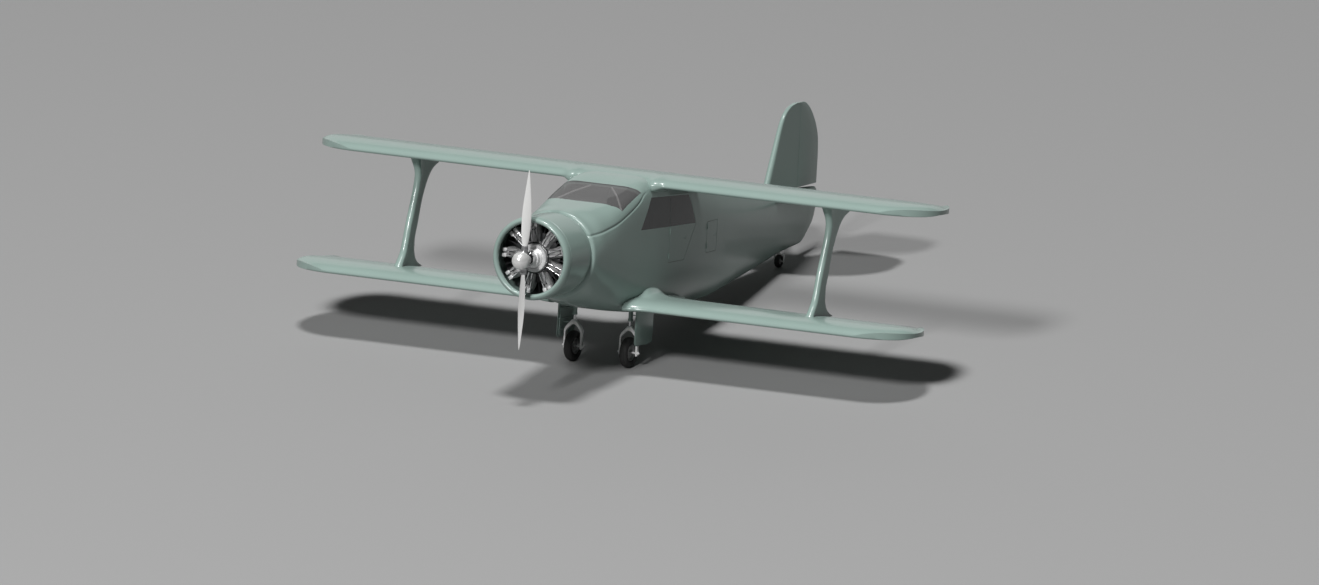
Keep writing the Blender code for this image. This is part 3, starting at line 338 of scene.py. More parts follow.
def turned(bm: Bm, profile: Iterable[Pair], steps: int,
           centre: Sequence[float] = (0.0, 0.0, 0.0), axis: str = "Y", closed: bool = True) -> Bm:
    """Spin a profile round an axis.

    Args:
        bm: the mesh that gets the shape.
        profile: pairs of distance along the axis and radius.
        steps: how many steps the turn has.
        centre: a point of the axis.
        axis: X, Y or Z.
        closed: whether the profile's last point joins its first.

    Returns:
        The mesh.
    """
    middle = Vector(centre)
    along = Vector({"X": (1, 0, 0), "Y": (0, 1, 0), "Z": (0, 0, 1)}[axis])
    out = Vector({"X": (0, 0, 1), "Y": (0, 0, 1), "Z": (1, 0, 0)}[axis])
    verts = [bm.verts.new(middle + along * a + out * r) for a, r in profile]
    edges = [bm.edges.new(pair) for pair in zip(verts, verts[1:])]
    if closed:
        edges.append(bm.edges.new((verts[-1], verts[0])))
    bmesh.ops.spin(bm, geom=verts + edges, cent=middle, axis=along, angle=2.0 * pi,
                   steps=steps, use_merge=True)
    bmesh.ops.remove_doubles(bm, verts=bm.verts, dist=1e-6)
    return bm


def tube(bm: Bm, start: Sequence[float], end: Sequence[float], radius: float,
         end_radius: float | None = None, steps: int = 20) -> Bm:
    """Add a round bar between two points.

    Args:
        bm: the mesh that gets the bar.
        start: its first end.
        end: its other end.
        radius: the radius at the first end.
        end_radius: the radius at the other end, if it differs.
        steps: how many sides it has.

    Returns:
        The mesh.
    """
    first, last = Vector(start), Vector(end)
    way = last - first
    place = way.to_track_quat("Z", "Y").to_matrix().to_4x4()
    place.translation = 0.5 * (first + last)
    bmesh.ops.create_cone(bm, cap_ends=True, cap_tris=False, segments=steps, radius1=radius,
                          radius2=radius if end_radius is None else end_radius,
                          depth=way.length, matrix=place)
    return bm


def hose(bm: Bm, path: Sequence[Vector], radius: float, steps: int = 8) -> Bm:
    """Sweep a round section along a path.

    Args:
        bm: the mesh that gets the hose.
        path: the points of its middle.
        radius: its radius.
        steps: how many sides it has.

    Returns:
        The mesh.
    """
    rings = []
    side = Vector((0.3, 0.2, 0.9))
    for i, spot in enumerate(path):
        way = (path[min(i + 1, len(path) - 1)] - path[max(i - 1, 0)]).normalized()
        side = (side - way * side.dot(way)).normalized()
        other = way.cross(side)
        rings.append([spot + (side * cos(a) + other * sin(a)) * radius
                      for a in turns(steps)])
    return skin(bm, rings)


def round_edges(bm: Bm, edges: Iterable[bmesh.types.BMEdge], width: float,
                segments: int = 2) -> None:
    """Round some edges.

    Args:
        bm: the mesh.
        edges: the edges.
        width: the width of the rounding.
        segments: how many strips it has.
    """
    bmesh.ops.bevel(bm, geom=list(edges), offset=width, offset_type="OFFSET", affect="EDGES",
                    segments=segments, profile=0.5, clamp_overlap=True, material=-1)


def block(bm: Bm, centre: Sequence[float], size: Sequence[float], bevel: float = 0.0,
          turn: Matrix | None = None, segments: int = 2) -> Bm:
    """Add a block with rounded edges.

    Args:
        bm: the mesh that gets the block.
        centre: its middle.
        size: its three sizes.
        bevel: the width of the rounding.
        turn: how it is turned.
        segments: how many strips the rounding has.

    Returns:
        The mesh.
    """
    place = Matrix.Translation(centre) @ (turn or Matrix.Identity(4))
    place = place @ Matrix.Diagonal((*size, 1.0))
    made = bmesh.ops.create_cube(bm, size=1.0, matrix=place)["verts"]
    if bevel:
        round_edges(bm, {edge for vert in made for edge in vert.link_edges}, bevel, segments)
    return bm


def plate(outline: Outline, axis: str, low: float, high: float, bm: Bm | None = None) -> Bm:
    """Push a flat outline along one axis.

    Args:
        outline: the two other coordinates of each corner, in order.
        axis: x, y or z.
        low: where the push starts.
        high: where it ends.
        bm: the mesh that gets the plate, or None for a new one.

    Returns:
        The mesh.
    """
    bm = bmesh.new() if bm is None else bm
    order = {"x": (2, 0, 1), "y": (0, 2, 1), "z": (0, 1, 2)}[axis]
    corners = [bm.verts.new([(a, b, low)[i] for i in order]) for a, b in outline]
    face = bm.faces.new(corners)
    pushed = bmesh.ops.extrude_face_region(bm, geom=[face])["geom"]
    moved = [item for item in pushed if isinstance(item, bmesh.types.BMVert)]
    bmesh.ops.translate(bm, verts=moved, vec=[(0.0, 0.0, high - low)[i] for i in order])
    return faced(bm)


def drawn_in(outline: Outline, amounts: float | Sequence[float]) -> list[Pair]:
    """Draw a convex outline in.

    Args:
        outline: its corners.
        amounts: one amount, or one for each side in turn.

    Returns:
        The new corners.
    """
    count = len(outline)
    widths = [amounts] * count if isinstance(amounts, float) else list(amounts)
    area = sum(outline[i][0] * outline[(i + 1) % count][1]
               - outline[(i + 1) % count][0] * outline[i][1] for i in range(count))
    lines = []
    for i in range(count):
        a, b = Vector(outline[i]), Vector(outline[(i + 1) % count])
        way = (b - a).normalized()
        inward = Vector((-way.y, way.x)) * copysign(1.0, area)
        lines.append((a + inward * widths[i], way))
    result = []
    for i in range(count):
        (p, d), (q, e) = lines[i - 1], lines[i]
        turn = d.x * e.y - d.y * e.x
        gap = q - p
        result.append(tuple(q) if abs(turn) < 1e-6
                      else tuple(p + d * ((gap.x * e.y - gap.y * e.x) / turn)))
    return result


def carve(bm: Bm, cut: Cut, *tools: Bm) -> Bm:
    """Apply exact booleans to a mesh, one tool after another.

    Args:
        bm: the mesh, freed here.
        cut: what is done with each tool.
        tools: the tools' meshes, freed here.

    Returns:
        The carved mesh.
    """
    base = from_bmesh("carved", bm)
    for tool in tools:
        cutter = from_bmesh("cutter", tool)
        step = base.modifiers.new("cut", "BOOLEAN")
        step.operation = cut.value
        step.solver = "EXACT"
        step.object = cutter
        bake(base)
        bpy.data.objects.remove(cutter, do_unlink=True)
    result = bmesh.new()
    result.from_mesh(base.data)
    bpy.data.objects.remove(base, do_unlink=True)
    bmesh.ops.remove_doubles(result, verts=result.verts, dist=4e-6)
    bmesh.ops.dissolve_degenerate(result, edges=result.edges, dist=4e-6)
    return result


def bake(made: Thing) -> None:
    """Replace an object's mesh by what its modifiers make of it.

    Args:
        made: the object.
    """
    graph = bpy.context.evaluated_depsgraph_get()
    graph.update()
    made.data = bpy.data.meshes.new_from_object(made.evaluated_get(graph))
    made.modifiers.clear()


def from_bmesh(name: str, bm: Bm, smooth: float = 36.0) -> Thing:
    """Make an object of a bmesh, smooth except along edges sharper than an angle.

    Args:
        name: the object's name.
        bm: the shape, freed here.
        smooth: the angle in degrees past which an edge stays sharp.

    Returns:
        The new object.
    """
    limit = radians(smooth)
    for face in bm.faces:
        face.smooth = True
    for edge in bm.edges:
        edge.smooth = not (len(edge.link_faces) == 2 and edge.calc_face_angle(0.0) > limit)
    mesh = bpy.data.meshes.new(name)
    bm.to_mesh(mesh)
    bm.free()
    return placed(name, mesh)


def placed(name: str, data: bpy.types.ID) -> Thing:
    """Make an object of a mesh, a camera or a light, and put it in the scene.

    Args:
        name: its name.
        data: the mesh, camera or light.

    Returns:
        The object.
    """
    made = bpy.data.objects.new(name, data)
    bpy.context.scene.collection.objects.link(made)
    return made


def dial(node: bpy.types.Node, values: dict[str, object]) -> None:
    """Set a node's inputs by their names."""
    for name, value in values.items():
        node.inputs[name].default_value = value


# how much finer than the broad noise each group's fine noise is
FINENESS = {Wear.ENAMEL: 30.0, Wear.CAST: 55.0, Wear.BRUSHED: 22.0, Wear.RUBBER: 60.0,
            Wear.CLOTH: 26.0}


class Shop:
    """Holds the shared shader groups and makes each finish once."""

    def __init__(self) -> None:
        """Start with nothing made."""
        self.groups: dict[Wear, bpy.types.NodeTree] = {}
        self.finishes: dict[str, bpy.types.Material] = {}

    def group(self, wear: Wear) -> bpy.types.NodeTree:
        """Give one of the shared groups, built on first use: two noises, stretched for brushed
        metal, with a weave for cloth.

        Args:
            wear: which group.

        Returns:
            The node tree, with a Tone, Roughness and Height output.
        """
        if wear in self.groups:
            return self.groups[wear]
        tree = self.groups[wear] = bpy.data.node_groups.new(wear.value, "ShaderNodeTree")
        for name, kind, value in (("Base", "Color", (0.5, 0.5, 0.5, 1.0)),
                                  ("Second", "Color", (0.4, 0.4, 0.4, 1.0)),
                                  ("Scale", "Float", 1.0), ("Amount", "Float", 0.5),
                                  ("Rough", "Float", 0.4), ("Spread", "Float", 0.1)):
            made = tree.interface.new_socket(name=name, in_out="INPUT",
                                             socket_type=f"NodeSocket{kind}")
            made.default_value = value
        for name, kind in (("Tone", "Color"), ("Roughness", "Float"), ("Height", "Float")):
            tree.interface.new_socket(name=name, in_out="OUTPUT", socket_type=f"NodeSocket{kind}")
        nodes, links = tree.nodes, tree.links

        def combined(operation: str, *inputs: bpy.types.NodeSocket | float) -> bpy.types.NodeSocket:
            """Add a Math node.

            Args:
                operation: what it does.
                inputs: the sockets and numbers it works on.

            Returns:
                Its output.
            """
            made = nodes.new("ShaderNodeMath")
            made.operation = operation
            for slot, value in zip(made.inputs, inputs):
                if isinstance(value, float):
                    slot.default_value = value
                else:
                    links.new(value, slot)
            return made.outputs[0]

        source, sink = nodes.new("NodeGroupInput").outputs, nodes.new("NodeGroupOutput").inputs
        place = nodes.new("ShaderNodeTexCoord").outputs["Object"]
        stretch = nodes.new("ShaderNodeMapping")
        links.new(place, stretch.inputs["Vector"])
        if wear is Wear.BRUSHED:
            dial(stretch, {"Scale": (14.0, 14.0, 1.2)})
        noises = []
        closer = combined("MULTIPLY", source["Scale"], FINENESS[wear])
        for scale, detail, rough in ((source["Scale"], 4.0, 0.5), (closer, 6.0, 0.6)):
            noise = nodes.new("ShaderNodeTexNoise")
            dial(noise, {"Detail": detail, "Roughness": rough})
            links.new(stretch.outputs["Vector"], noise.inputs["Vector"])
            links.new(scale, noise.inputs["Scale"])
            noises.append(noise.outputs["Fac"])
        broad, fine = noises
        height = fine
        if wear is Wear.CLOTH:
            weave = nodes.new("ShaderNodeTexWave")
            dial(weave, {"Distortion": 1.0, "Scale": 140.0})
            links.new(place, weave.inputs["Vector"])
            height = combined("MULTIPLY", weave.outputs["Fac"], fine)
        mask = nodes.new("ShaderNodeMapRange")
        dial(mask, {"From Min": 0.35, "From Max": 0.7})
        links.new(broad, mask.inputs["Value"])
        share = combined("MULTIPLY", mask.outputs["Result"], source["Amount"])
        blend = nodes.new("ShaderNodeMix")
        blend.data_type = "RGBA"
        for start, end in ((share, blend.inputs["Factor"]), (source["Base"], blend.inputs["A"]),
                           (source["Second"], blend.inputs["B"]),
                           (blend.outputs["Result"], sink["Tone"]),
                           (combined("MULTIPLY_ADD", fine, source["Spread"], source["Rough"]),
                            sink["Roughness"]), (height, sink["Height"])):
            links.new(start, end)
        return tree

    def dress(self, finish: "Finish") -> bpy.types.Material:
        """Make a finish's material, once.

        Args:
            finish: the finish.

        Returns:
            Its material.
        """
        if finish.name not in self.finishes:
            self.finishes[finish.name] = finish.build(self)
        return self.finishes[finish.name]


@dataclass(frozen=True)
class Finish:
    """One surface finish."""

    name: str
    slot: str
    base: Triple
    second: Triple
    wear: Wear
    scale: float = 3.0
    amount: float = 0.5
    rough: float = 0.3
    spread: float = 0.08
    metal: float = 0.0
    coat: float = 0.0
    bump: float = 0.0004
    strength: float = 0.3
    solid: float = 1.0
    gloss: float = 0.5

    def build(self, shop: Shop) -> bpy.types.Material:
        """Build the material: the shared group feeds one Principled shader.

        Args:
            shop: where the groups are kept.

        Returns:
            The new material.
        """
        made = bpy.data.materials.new(self.name)
        made.use_nodes = True
        nodes, links = made.node_tree.nodes, made.node_tree.links
        shader = nodes["Principled BSDF"]
        wear = nodes.new("ShaderNodeGroup")
        wear.node_tree = shop.group(self.wear)
        dial(wear, {"Base": (*self.base, 1.0), "Second": (*self.second, 1.0),
                    "Scale": self.scale, "Amount": self.amount,
                    "Rough": self.rough - 0.5 * self.spread, "Spread": self.spread})
        links.new(wear.outputs["Tone"], shader.inputs["Base Color"])
        links.new(wear.outputs["Roughness"], shader.inputs["Roughness"])
        dial(shader, {"Metallic": self.metal, "Coat Weight": self.coat, "Coat Roughness": 0.06,
                      "Alpha": self.solid, "Specular IOR Level": self.gloss})
        if self.bump:
            bump = nodes.new("ShaderNodeBump")
            dial(bump, {"Strength": self.strength, "Distance": self.bump})
            links.new(wear.outputs["Height"], bump.inputs["Height"])
            links.new(bump.outputs["Normal"], shader.inputs["Normal"])
        return made


PAINT = Finish("sage_enamel", "paint", (0.232, 0.307, 0.281), (0.223, 0.298, 0.272),
               Wear.ENAMEL, 1.6, 0.7, 0.24, 0.04, 0.0, 0.1, 0.0002, 0.08, 1.0, 0.36)
ALLOY = Finish("engine_alloy", "engine_metal", (0.72, 0.72, 0.72), (0.56, 0.56, 0.565),
               Wear.CAST, 9.0, 0.6, 0.4, 0.16, 0.45, 0.1, 0.0006, 0.3)
FIN_METAL = Finish("fin_alloy", "engine_metal", (0.7, 0.7, 0.7), (0.5, 0.5, 0.505),
                   Wear.CAST, 9.0, 0.7, 0.4, 0.16, 0.35, 0.1, 0.0004, 0.25)
BLACKED = Finish("blacked_metal", "engine_metal", (0.02, 0.021, 0.022), (0.012, 0.012, 0.013),
                 Wear.CAST, 9.0, 0.8, 0.45, 0.2, 0.2, 0.0, 0.0006, 0.4)
BLADE = Finish("blade_grey", "propeller_metal", (0.62, 0.62, 0.61), (0.57, 0.57, 0.565),
               Wear.BRUSHED, 3.0, 0.5, 0.42, 0.12, 0.1, 0.0, 0.0003, 0.2)
HUB_STEEL = Finish("hub_steel", "propeller_metal", (0.52, 0.52, 0.53), (0.36, 0.36, 0.37),
                   Wear.CAST, 9.0, 0.6, 0.3, 0.16, 0.9, 0.0, 0.0005, 0.3)
DOME = Finish("spinner_polish", "spinner_metal", (0.74, 0.74, 0.73), (0.66, 0.66, 0.65),
              Wear.BRUSHED, 2.0, 0.4, 0.26, 0.06, 0.45, 0.2, 0.0001, 0.1)
GEAR = Finish("fork_silver", "gear_metal", (0.86, 0.86, 0.85), (0.76, 0.76, 0.75),
              Wear.CAST, 7.0, 0.4, 0.36, 0.12, 0.1, 0.3, 0.0003, 0.2)
CHROME = Finish("piston_chrome", "gear_metal", (0.86, 0.86, 0.87), (0.76, 0.76, 0.77),
                Wear.BRUSHED, 2.0, 0.3, 0.14, 0.06, 0.7, 0.0, 0.0001, 0.1)
WHEEL = Finish("wheel_alloy", "wheel_metal", (0.4, 0.4, 0.4), (0.26, 0.26, 0.26),
               Wear.CAST, 8.0, 0.5, 0.36, 0.15, 0.8, 0.0, 0.0005, 0.3)
TYRE = Finish("tyre_black", "tyre_rubber", (0.02, 0.02, 0.02), (0.038, 0.037, 0.035),
              Wear.RUBBER, 5.0, 0.6, 0.6, 0.2, 0.0, 0.0, 0.0009, 0.5)
CLEAR = Finish("windshield_glass", "tinted_glass", (0.165, 0.165, 0.165), (0.155, 0.155, 0.155),
               Wear.ENAMEL, 2.0, 0.4, 0.05, 0.02, 0.0, 0.0, 0.0, 0.0, 0.42)
# near-black, nearly opaque glass for the side and door panes: painted shade for the cabin seen
# through them
SIDE_SHADE_GLASS = Finish("side_shade_glass", "tinted_glass", (0.02, 0.022, 0.022), (0.016, 0.018, 0.018),
               Wear.ENAMEL, 2.0, 0.4, 0.06, 0.02, 0.0, 0.0, 0.0, 0.0, 0.86)
TRIM = Finish("dark_trim", "dark_trim", (0.045, 0.046, 0.048), (0.03, 0.031, 0.032),
              Wear.RUBBER, 4.0, 0.6, 0.5, 0.2, 0.0, 0.0, 0.0004, 0.3)
LINING = Finish("cabin_lining", "dark_trim", (0.22, 0.215, 0.2), (0.18, 0.175, 0.165),
                Wear.CLOTH, 6.0, 0.6, 0.8, 0.15, 0.0, 0.0, 0.0008, 0.5)
BRACE = Finish("brace_grey", "dark_trim", (0.62, 0.6, 0.6), (0.56, 0.54, 0.54),
               Wear.ENAMEL, 3.0, 0.5, 0.4, 0.1, 0.0, 0.0, 0.0002, 0.2)
CLOTH = Finish("seat_cloth", "seat_cloth", (0.16, 0.115, 0.075), (0.11, 0.08, 0.055),
               Wear.CLOTH, 6.0, 0.7, 0.75, 0.2, 0.0, 0.0, 0.0012, 0.6)
DIAL = Finish("dial_black", "dark_trim", (0.012, 0.012, 0.013), (0.02, 0.02, 0.021),
              Wear.ENAMEL, 9.0, 0.5, 0.25, 0.1, 0.0, 0.2, 0.0001, 0.1)
MARKING = Finish("dial_white", "dark_trim", (0.75, 0.75, 0.72), (0.66, 0.66, 0.63),
                 Wear.ENAMEL, 9.0, 0.5, 0.45, 0.1, 0.0, 0.0, 0.0001, 0.1)


@dataclass(frozen=True)
class HullForm:
    """The fuselage's outer form, with the moulding along its nose."""

    stations: Fair = Fair(HULL_STATIONS)
    crease: Fair = Fair(CREASE_LINE)
    bead: float = 0.001
    bead_wide: float = 0.026
    groove: float = 0.013
    wide: float = 0.056
    reach: float = 0.062
    fade: Pair = (2.46, 2.66)

    def spot(self, row: Sequence[float], angle: float, inset: float) -> Vector:
        """Give one point of a ring.

        Args:
            row: the ring's sizes.
            angle: the angle round it, from its side upward.
            inset: how far inside the outer form it lies.

        Returns:
            Its x and z.
        """
        wide, top, mid, low, above, below = row
        tall = top - inset - mid if angle >= 0.0 else mid - low - inset
        c, s = cos(angle), sin(angle)
        n = above if angle >= 0.0 else below
        r = (abs(c) ** n + abs(s) ** n) ** (-1.0 / n)
        return Vector(((wide - inset) * r * c, mid + tall * r * s))

    def relief(self, y: float, height: float) -> float:
        """Give how far the moulding stands proud, by height above its line.

        Args:
            y: the place along the fuselage.
            height: the distance above the line, along the skin.

        Returns:
            The distance out.
        """
        start, end = self.fade
        share = unit((end - y) / (end - start))
        if 0.0 < height < self.wide:
            return -share * self.groove * sin(pi * height / self.wide) ** 2
        if -self.bead_wide < height <= 0.0:
            return share * self.bead * sin(pi * height / self.bead_wide) ** 2
        return 0.0

    def ring(self, y: float, inset: float = 0.0, half: int = 60) -> Ring:
        """Give the points of one ring, closest together along the moulding.

        Args:
            y: the place along the fuselage.
            inset: how far inside the outer form it lies.
            half: how many steps half the ring has.

        Returns:
            The points, from the top down one side and up the other.
        """
        row = self.stations.at(y)
        aim = self.crease.at(y)[0]
        line = halved(0.0, QUARTER, lambda angle: self.spot(row, angle, 0.0).y < aim)
        speed = (self.spot(row, line + 0.01, 0.0) - self.spot(row, line - 0.01, 0.0)).length / 0.02
        spread = min(self.reach / speed, 0.5 * (QUARTER - line), 0.5 * line)
        marks = ((0.0, QUARTER), (0.34, line + spread), (0.58, line - spread),
                 (1.0, -QUARTER))
        side = []
        for t in spaced(0.0, 1.0, half):
            for (p, a), (q, b) in zip(marks, marks[1:]):
                if t <= q + 1e-9:
                    angle = a + (b - a) * (t - p) / (q - p)
                    break
            spot = self.spot(row, angle, inset)
            if inset <= 0.0 and y < self.fade[1]:
                out = (self.spot(row, angle - 0.004, 0.0) - self.spot(row, angle + 0.004, 0.0))
                rise = self.relief(y, (angle - line) * speed)
                spot += Vector((-out.y, out.x)).normalized() * rise
            side.append(spot)
        right = [Vector((p.x, y, p.y)) for p in side]
        right[0].x = right[-1].x = 0.0
        return right + [Vector((-p.x, p.y, p.z)) for p in reversed(right[1:-1])]

    def solid(self, first: float, last: float, inset: float = 0.0, step: float = 0.042,
              half: int = 60) -> Bm:
        """Skin the form between two places, closed at both ends.

        Args:
            first: where it starts.
            last: where it ends.
            inset: how far inside the outer form it lies.
            step: the longest distance between rings.
            half: how many steps half a ring has.

        Returns:
            The closed mesh.
        """
        rows = spaced(first, last, max(2, ceil((last - first) / step)))
        rows += [y for y in (1.0025, 1.005, 1.009, 1.014, 1.022, 1.032, 1.05) if first < y < last]
        return faced(skin(bmesh.new(), [self.ring(y, inset, half) for y in sorted(rows)]))

    def layer(self, first: float, last: float, depth: float, start: float = 0.0) -> Bm:
        """Give a hollow shell of the form.

        Args:
            first: where it starts.
            last: where it ends.
            depth: how deep its inner side lies.
            start: how deep its outer side lies.

        Returns:
            The shell, open at neither end.
        """
        return carve(self.solid(first, last, start), Cut.REMOVE,
                     self.solid(first + depth, last - depth, depth, 0.084, 44))

    def side_x(self, y: float, z: float) -> float:
        """Give the half width at a height, by halving.

        Args:
            y: the place along the fuselage.
            z: the height.

        Returns:
            The half width.
        """
        row = self.stations.at(y)
        angle = halved(-QUARTER, QUARTER, lambda a: self.spot(row, a, 0.0).y < z)
        return self.spot(row, angle, 0.0).x


HULL = HullForm()


@dataclass(frozen=True)
class WingForm:
    """One wing's outer form."""

    lead: float
    height: float
    drop: float
    roots: Fair
    chord: float = 1.524
    above: float = 0.096
    below: float = 0.066
    hinge: float = 0.77
    tip_start: float = 4.15
    tip_back: float = 4.3
    tip_cap: float = 4.7
    tip_end: float = 4.877
    sweep: float = 0.436
    tip_thick: float = 0.58
    wall_top: float = 0.76
    fillet: Pair = (0.43, 0.17)

    def section(self, out: float) -> tuple[float, float, float, float, float]:
        """Give a section's sizes.

        Args:
            out: the distance out from the centre line.

        Returns:
            Leading edge, trailing edge, rise, depth and fillet height.
        """
        if out <= self.tip_start:
            front, back, up, down, fillet = self.roots.at(out)
            return (self.lead + front, self.lead + self.chord + back, self.above * up,
                    self.below * down, fillet)
        ahead, behind = (asin(unit((out - start) / (self.tip_end - start)))
                         for start in (self.tip_start, self.tip_back))
        thick = max(self.tip_thick, abs(cos(ahead)) ** 0.3)
        return (self.lead + self.chord * self.sweep * (1.0 - cos(ahead)),
                self.lead + self.chord * (1.0 - 0.558 * (1.0 - cos(behind)) ** 0.9),
                self.above * thick, self.below * thick, 0.0)

    @staticmethod
    def wall(out: float, f: float) -> float:
        """Give the wall that the wing's edge turns into towards the tip.

        Args:
            out: the distance out from the centre line.
            f: the share of the chord.

        Returns:
            The wall's share of the full thickness, from -1 for none to 0.92.
        """
        shares = []
        for start, reach in ((3.75, 0.9), (4.34, 0.34)):
            t = unit((out - start) / reach)
            shares.append(t * t * (3.0 - 2.0 * t))
        return 1.92 * (shares[0] * (1.0 - f) + shares[1] * f) - 1.0

    def ring(self, x: float, half: int = 28) -> Ring:
        """Give the points of one section.

        Args:
            x: the place across the aircraft.
            half: how many steps each side of the section has.

        Returns:
            The points, from the trailing edge over the top and back below.
        """
        front, back, up, down, fillet = self.section(abs(x))
        end = unit((abs(x) - self.tip_cap) / (self.tip_end - self.tip_cap))
        middle, spread = self.fillet
        upper, lower = [], []
        for s in spaced(0.0, 1.0, half):
            f = s * s
            high, deep = PROFILE.at(s)
            blunt = self.wall(abs(x), f)
            top = (1.0 + blunt) * self.wall_top - 1.0
            high = max(high, top)
            high += (top - high) * end * end
            deep = max(deep, blunt)
            deep += (blunt - deep) * end * end
            y = front + f * (back - front)
            z = self.height - self.drop * (y - self.lead) / self.chord
            rise = fillet * exp(-((f - middle) / spread) ** 4)
            upper.append(Vector((x, y, z + high * up + rise)))
            lower.append(Vector((x, y, z - deep * down)))
        return upper[::-1] + lower

    def stations(self, start: float) -> list[float]:
        """List the distances out at which one side has rings.

        Args:
            start: the innermost.

        Returns:
            The distances.
        """
        tip = [self.tip_start + (self.tip_end - self.tip_start) * sin(a)
               for a in spaced(0.0, QUARTER, 20)[1:]]
        return (spaced(start, 1.0, 22) + spaced(1.0, 3.7, 7)[1:]
                + spaced(3.7, self.tip_start, 4)[1:] + tip)

    def pivot(self) -> Triple:
        """Place the moving part's hinge.

        Returns:
            Its y, its z and the radius of the moving part's nose.
        """
        share = PROFILE.at(sqrt(self.hinge))[0]
        top, bottom = share * self.above, share * self.below
        return (self.lead + self.hinge * self.chord,
                self.height - self.drop * self.hinge + 0.5 * (top - bottom), 0.5 * (top + bottom))

    def cove(self, low: float, high: float) -> Bm:
        """Give the tool that clears a moving surface out of the wing.

        Args:
            low: the lower end in x.
            high: the higher end in x.

        Returns:
            The tool.
        """
        y, z, radius = self.pivot()
        outline = [(y, z + 0.3)] + arc(y, z, radius + SWING_GAP,
                                       spaced(QUARTER, 1.5 * pi, 14))
        outline += [(y, z - 0.3), (y + 0.7, z - 0.3), (y + 0.7, z + 0.3)]
        return plate(outline, "x", low - DOOR_GAP, high + DOOR_GAP)

    def vane(self, low: float, high: float) -> Bm:
        """Give the moving surface between two places.

        Args:
            low: the lower end in x.
            high: the higher end in x.

        Returns:
            The surface with its two hinge pins.
        """
        y, z, radius = self.pivot()
        back, edge = self.lead + self.chord, 0.022 * 0.5 * (self.above + self.below)
        rings = []
        for x in (low, low + 0.004, high - 0.004, high):
            spots = arc(y, z, radius - (0.002 if x in (low, high) else 0.0),
                        spaced(QUARTER, 1.5 * pi, 16))
            tail = self.height - self.drop
            spots += [(back, tail - edge), (back, tail + edge)]
            rings.append([Vector((x, *spot)) for spot in spots])
        bm = skin(bmesh.new(), rings)
        for start, end in ((low - DOOR_GAP + 0.0005, low + 0.02),
                           (high - 0.02, high + DOOR_GAP - 0.0005)):
            tube(bm, (start, y, z), (end, y, z), 0.009, steps=14)
        return bm


UPPER = WingForm(2.825, 0.912, 0.045, Fair(UPPER_ROOT))
LOWER = WingForm(2.21, -0.798, 0.03, Fair(LOWER_ROOT))


@dataclass
class Assembly:
    """A group of pieces that are finished in the same shop."""

    shop: Shop

    def piece(self, name: str, bm: Bm, finish: Finish, body: str, *nodes: str,
              smooth: float = 36.0, outward: bool = True) -> Thing:
        """Close a piece: stand it in the parked attitude, finish it and hang it on its body.

        Args:
            name: the piece's name.
            bm: its mesh in the aircraft's axes, freed here.
            finish: its finish.
            body: the body it rides on.
            nodes: the CAD nodes it stands for.
            smooth: the angle past which an edge stays sharp, in degrees.
            outward: whether its faces are turned outward here.

        Returns:
            The piece.
        """
        if outward:
            faced(bm)
        bm.transform(ATTITUDE)
        made = from_bmesh(name, bm, smooth)
        return self.settle(made, finish, body, *nodes)

    def settle(self, made: Thing, finish: Finish, body: str, *nodes: str) -> Thing:
        """Give a piece its material, slot and body.

        Args:
            made: the piece.
            finish: its finish.
            body: the body it rides on.
            nodes: the CAD nodes it stands for.

        Returns:
            The piece.
        """
        made.data.materials.clear()
        made.data.materials.append(self.shop.dress(finish))
        if nodes:
            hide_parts(*nodes)
        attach(made, body)
        LOG.info("%s rides on %s, %d faces", made.name, body, len(made.data.polygons))
        return made

    def copied(self, name: str, node: str, finish: Finish, bevel: float = 0.0,
               smooth: float = 36.0) -> Thing:
        """Finish a merged copy of a CAD node whose shape is right.

        Args:
            name: the piece's name.
            node: the node.
            finish: its finish.
            bevel: the width of the rounding on sharp edges.
            smooth: the angle past which an edge is sharp, in degrees.

        Returns:
            The piece.
        """
        bm = bmesh.new()
        bm.from_mesh(frame["nodes"][node].data)
        bmesh.ops.remove_doubles(bm, verts=bm.verts, dist=2e-5)
        bmesh.ops.dissolve_limit(bm, angle_limit=radians(0.5), verts=bm.verts, edges=bm.edges)
        if bevel:
            limit = radians(smooth)
            round_edges(bm, [e for e in bm.edges if len(e.link_faces) == 2
                             and e.calc_face_angle(0.0) > limit], bevel)
        made = from_bmesh(name, bm, smooth)
        return self.settle(made, finish, frame["nodes"][node]["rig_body"], node)


@dataclass(frozen=True)
class Doorway:
    """A door's opening, its gaps, its leaf's thickness, its stretch of hull and its hinge."""

    outline: Outline
    gaps: tuple[float, ...]
    thick: float
    first: float
    last: float
    hinge: Pair
    heights: Pair


CABIN_DOORWAY = Doorway(DOOR, (0.006, 0.008, 0.008, 0.006, 0.006), 0.026, 3.2, 4.5,
                        (0.692, 3.4), (-0.23, 0.12))
BAGGAGE_DOORWAY = Doorway(BAGGAGE, (0.006, 0.01, 0.006, 0.006), 0.014, 4.6, 5.35,
                          (0.646, 4.77), (-0.22, 0.06))


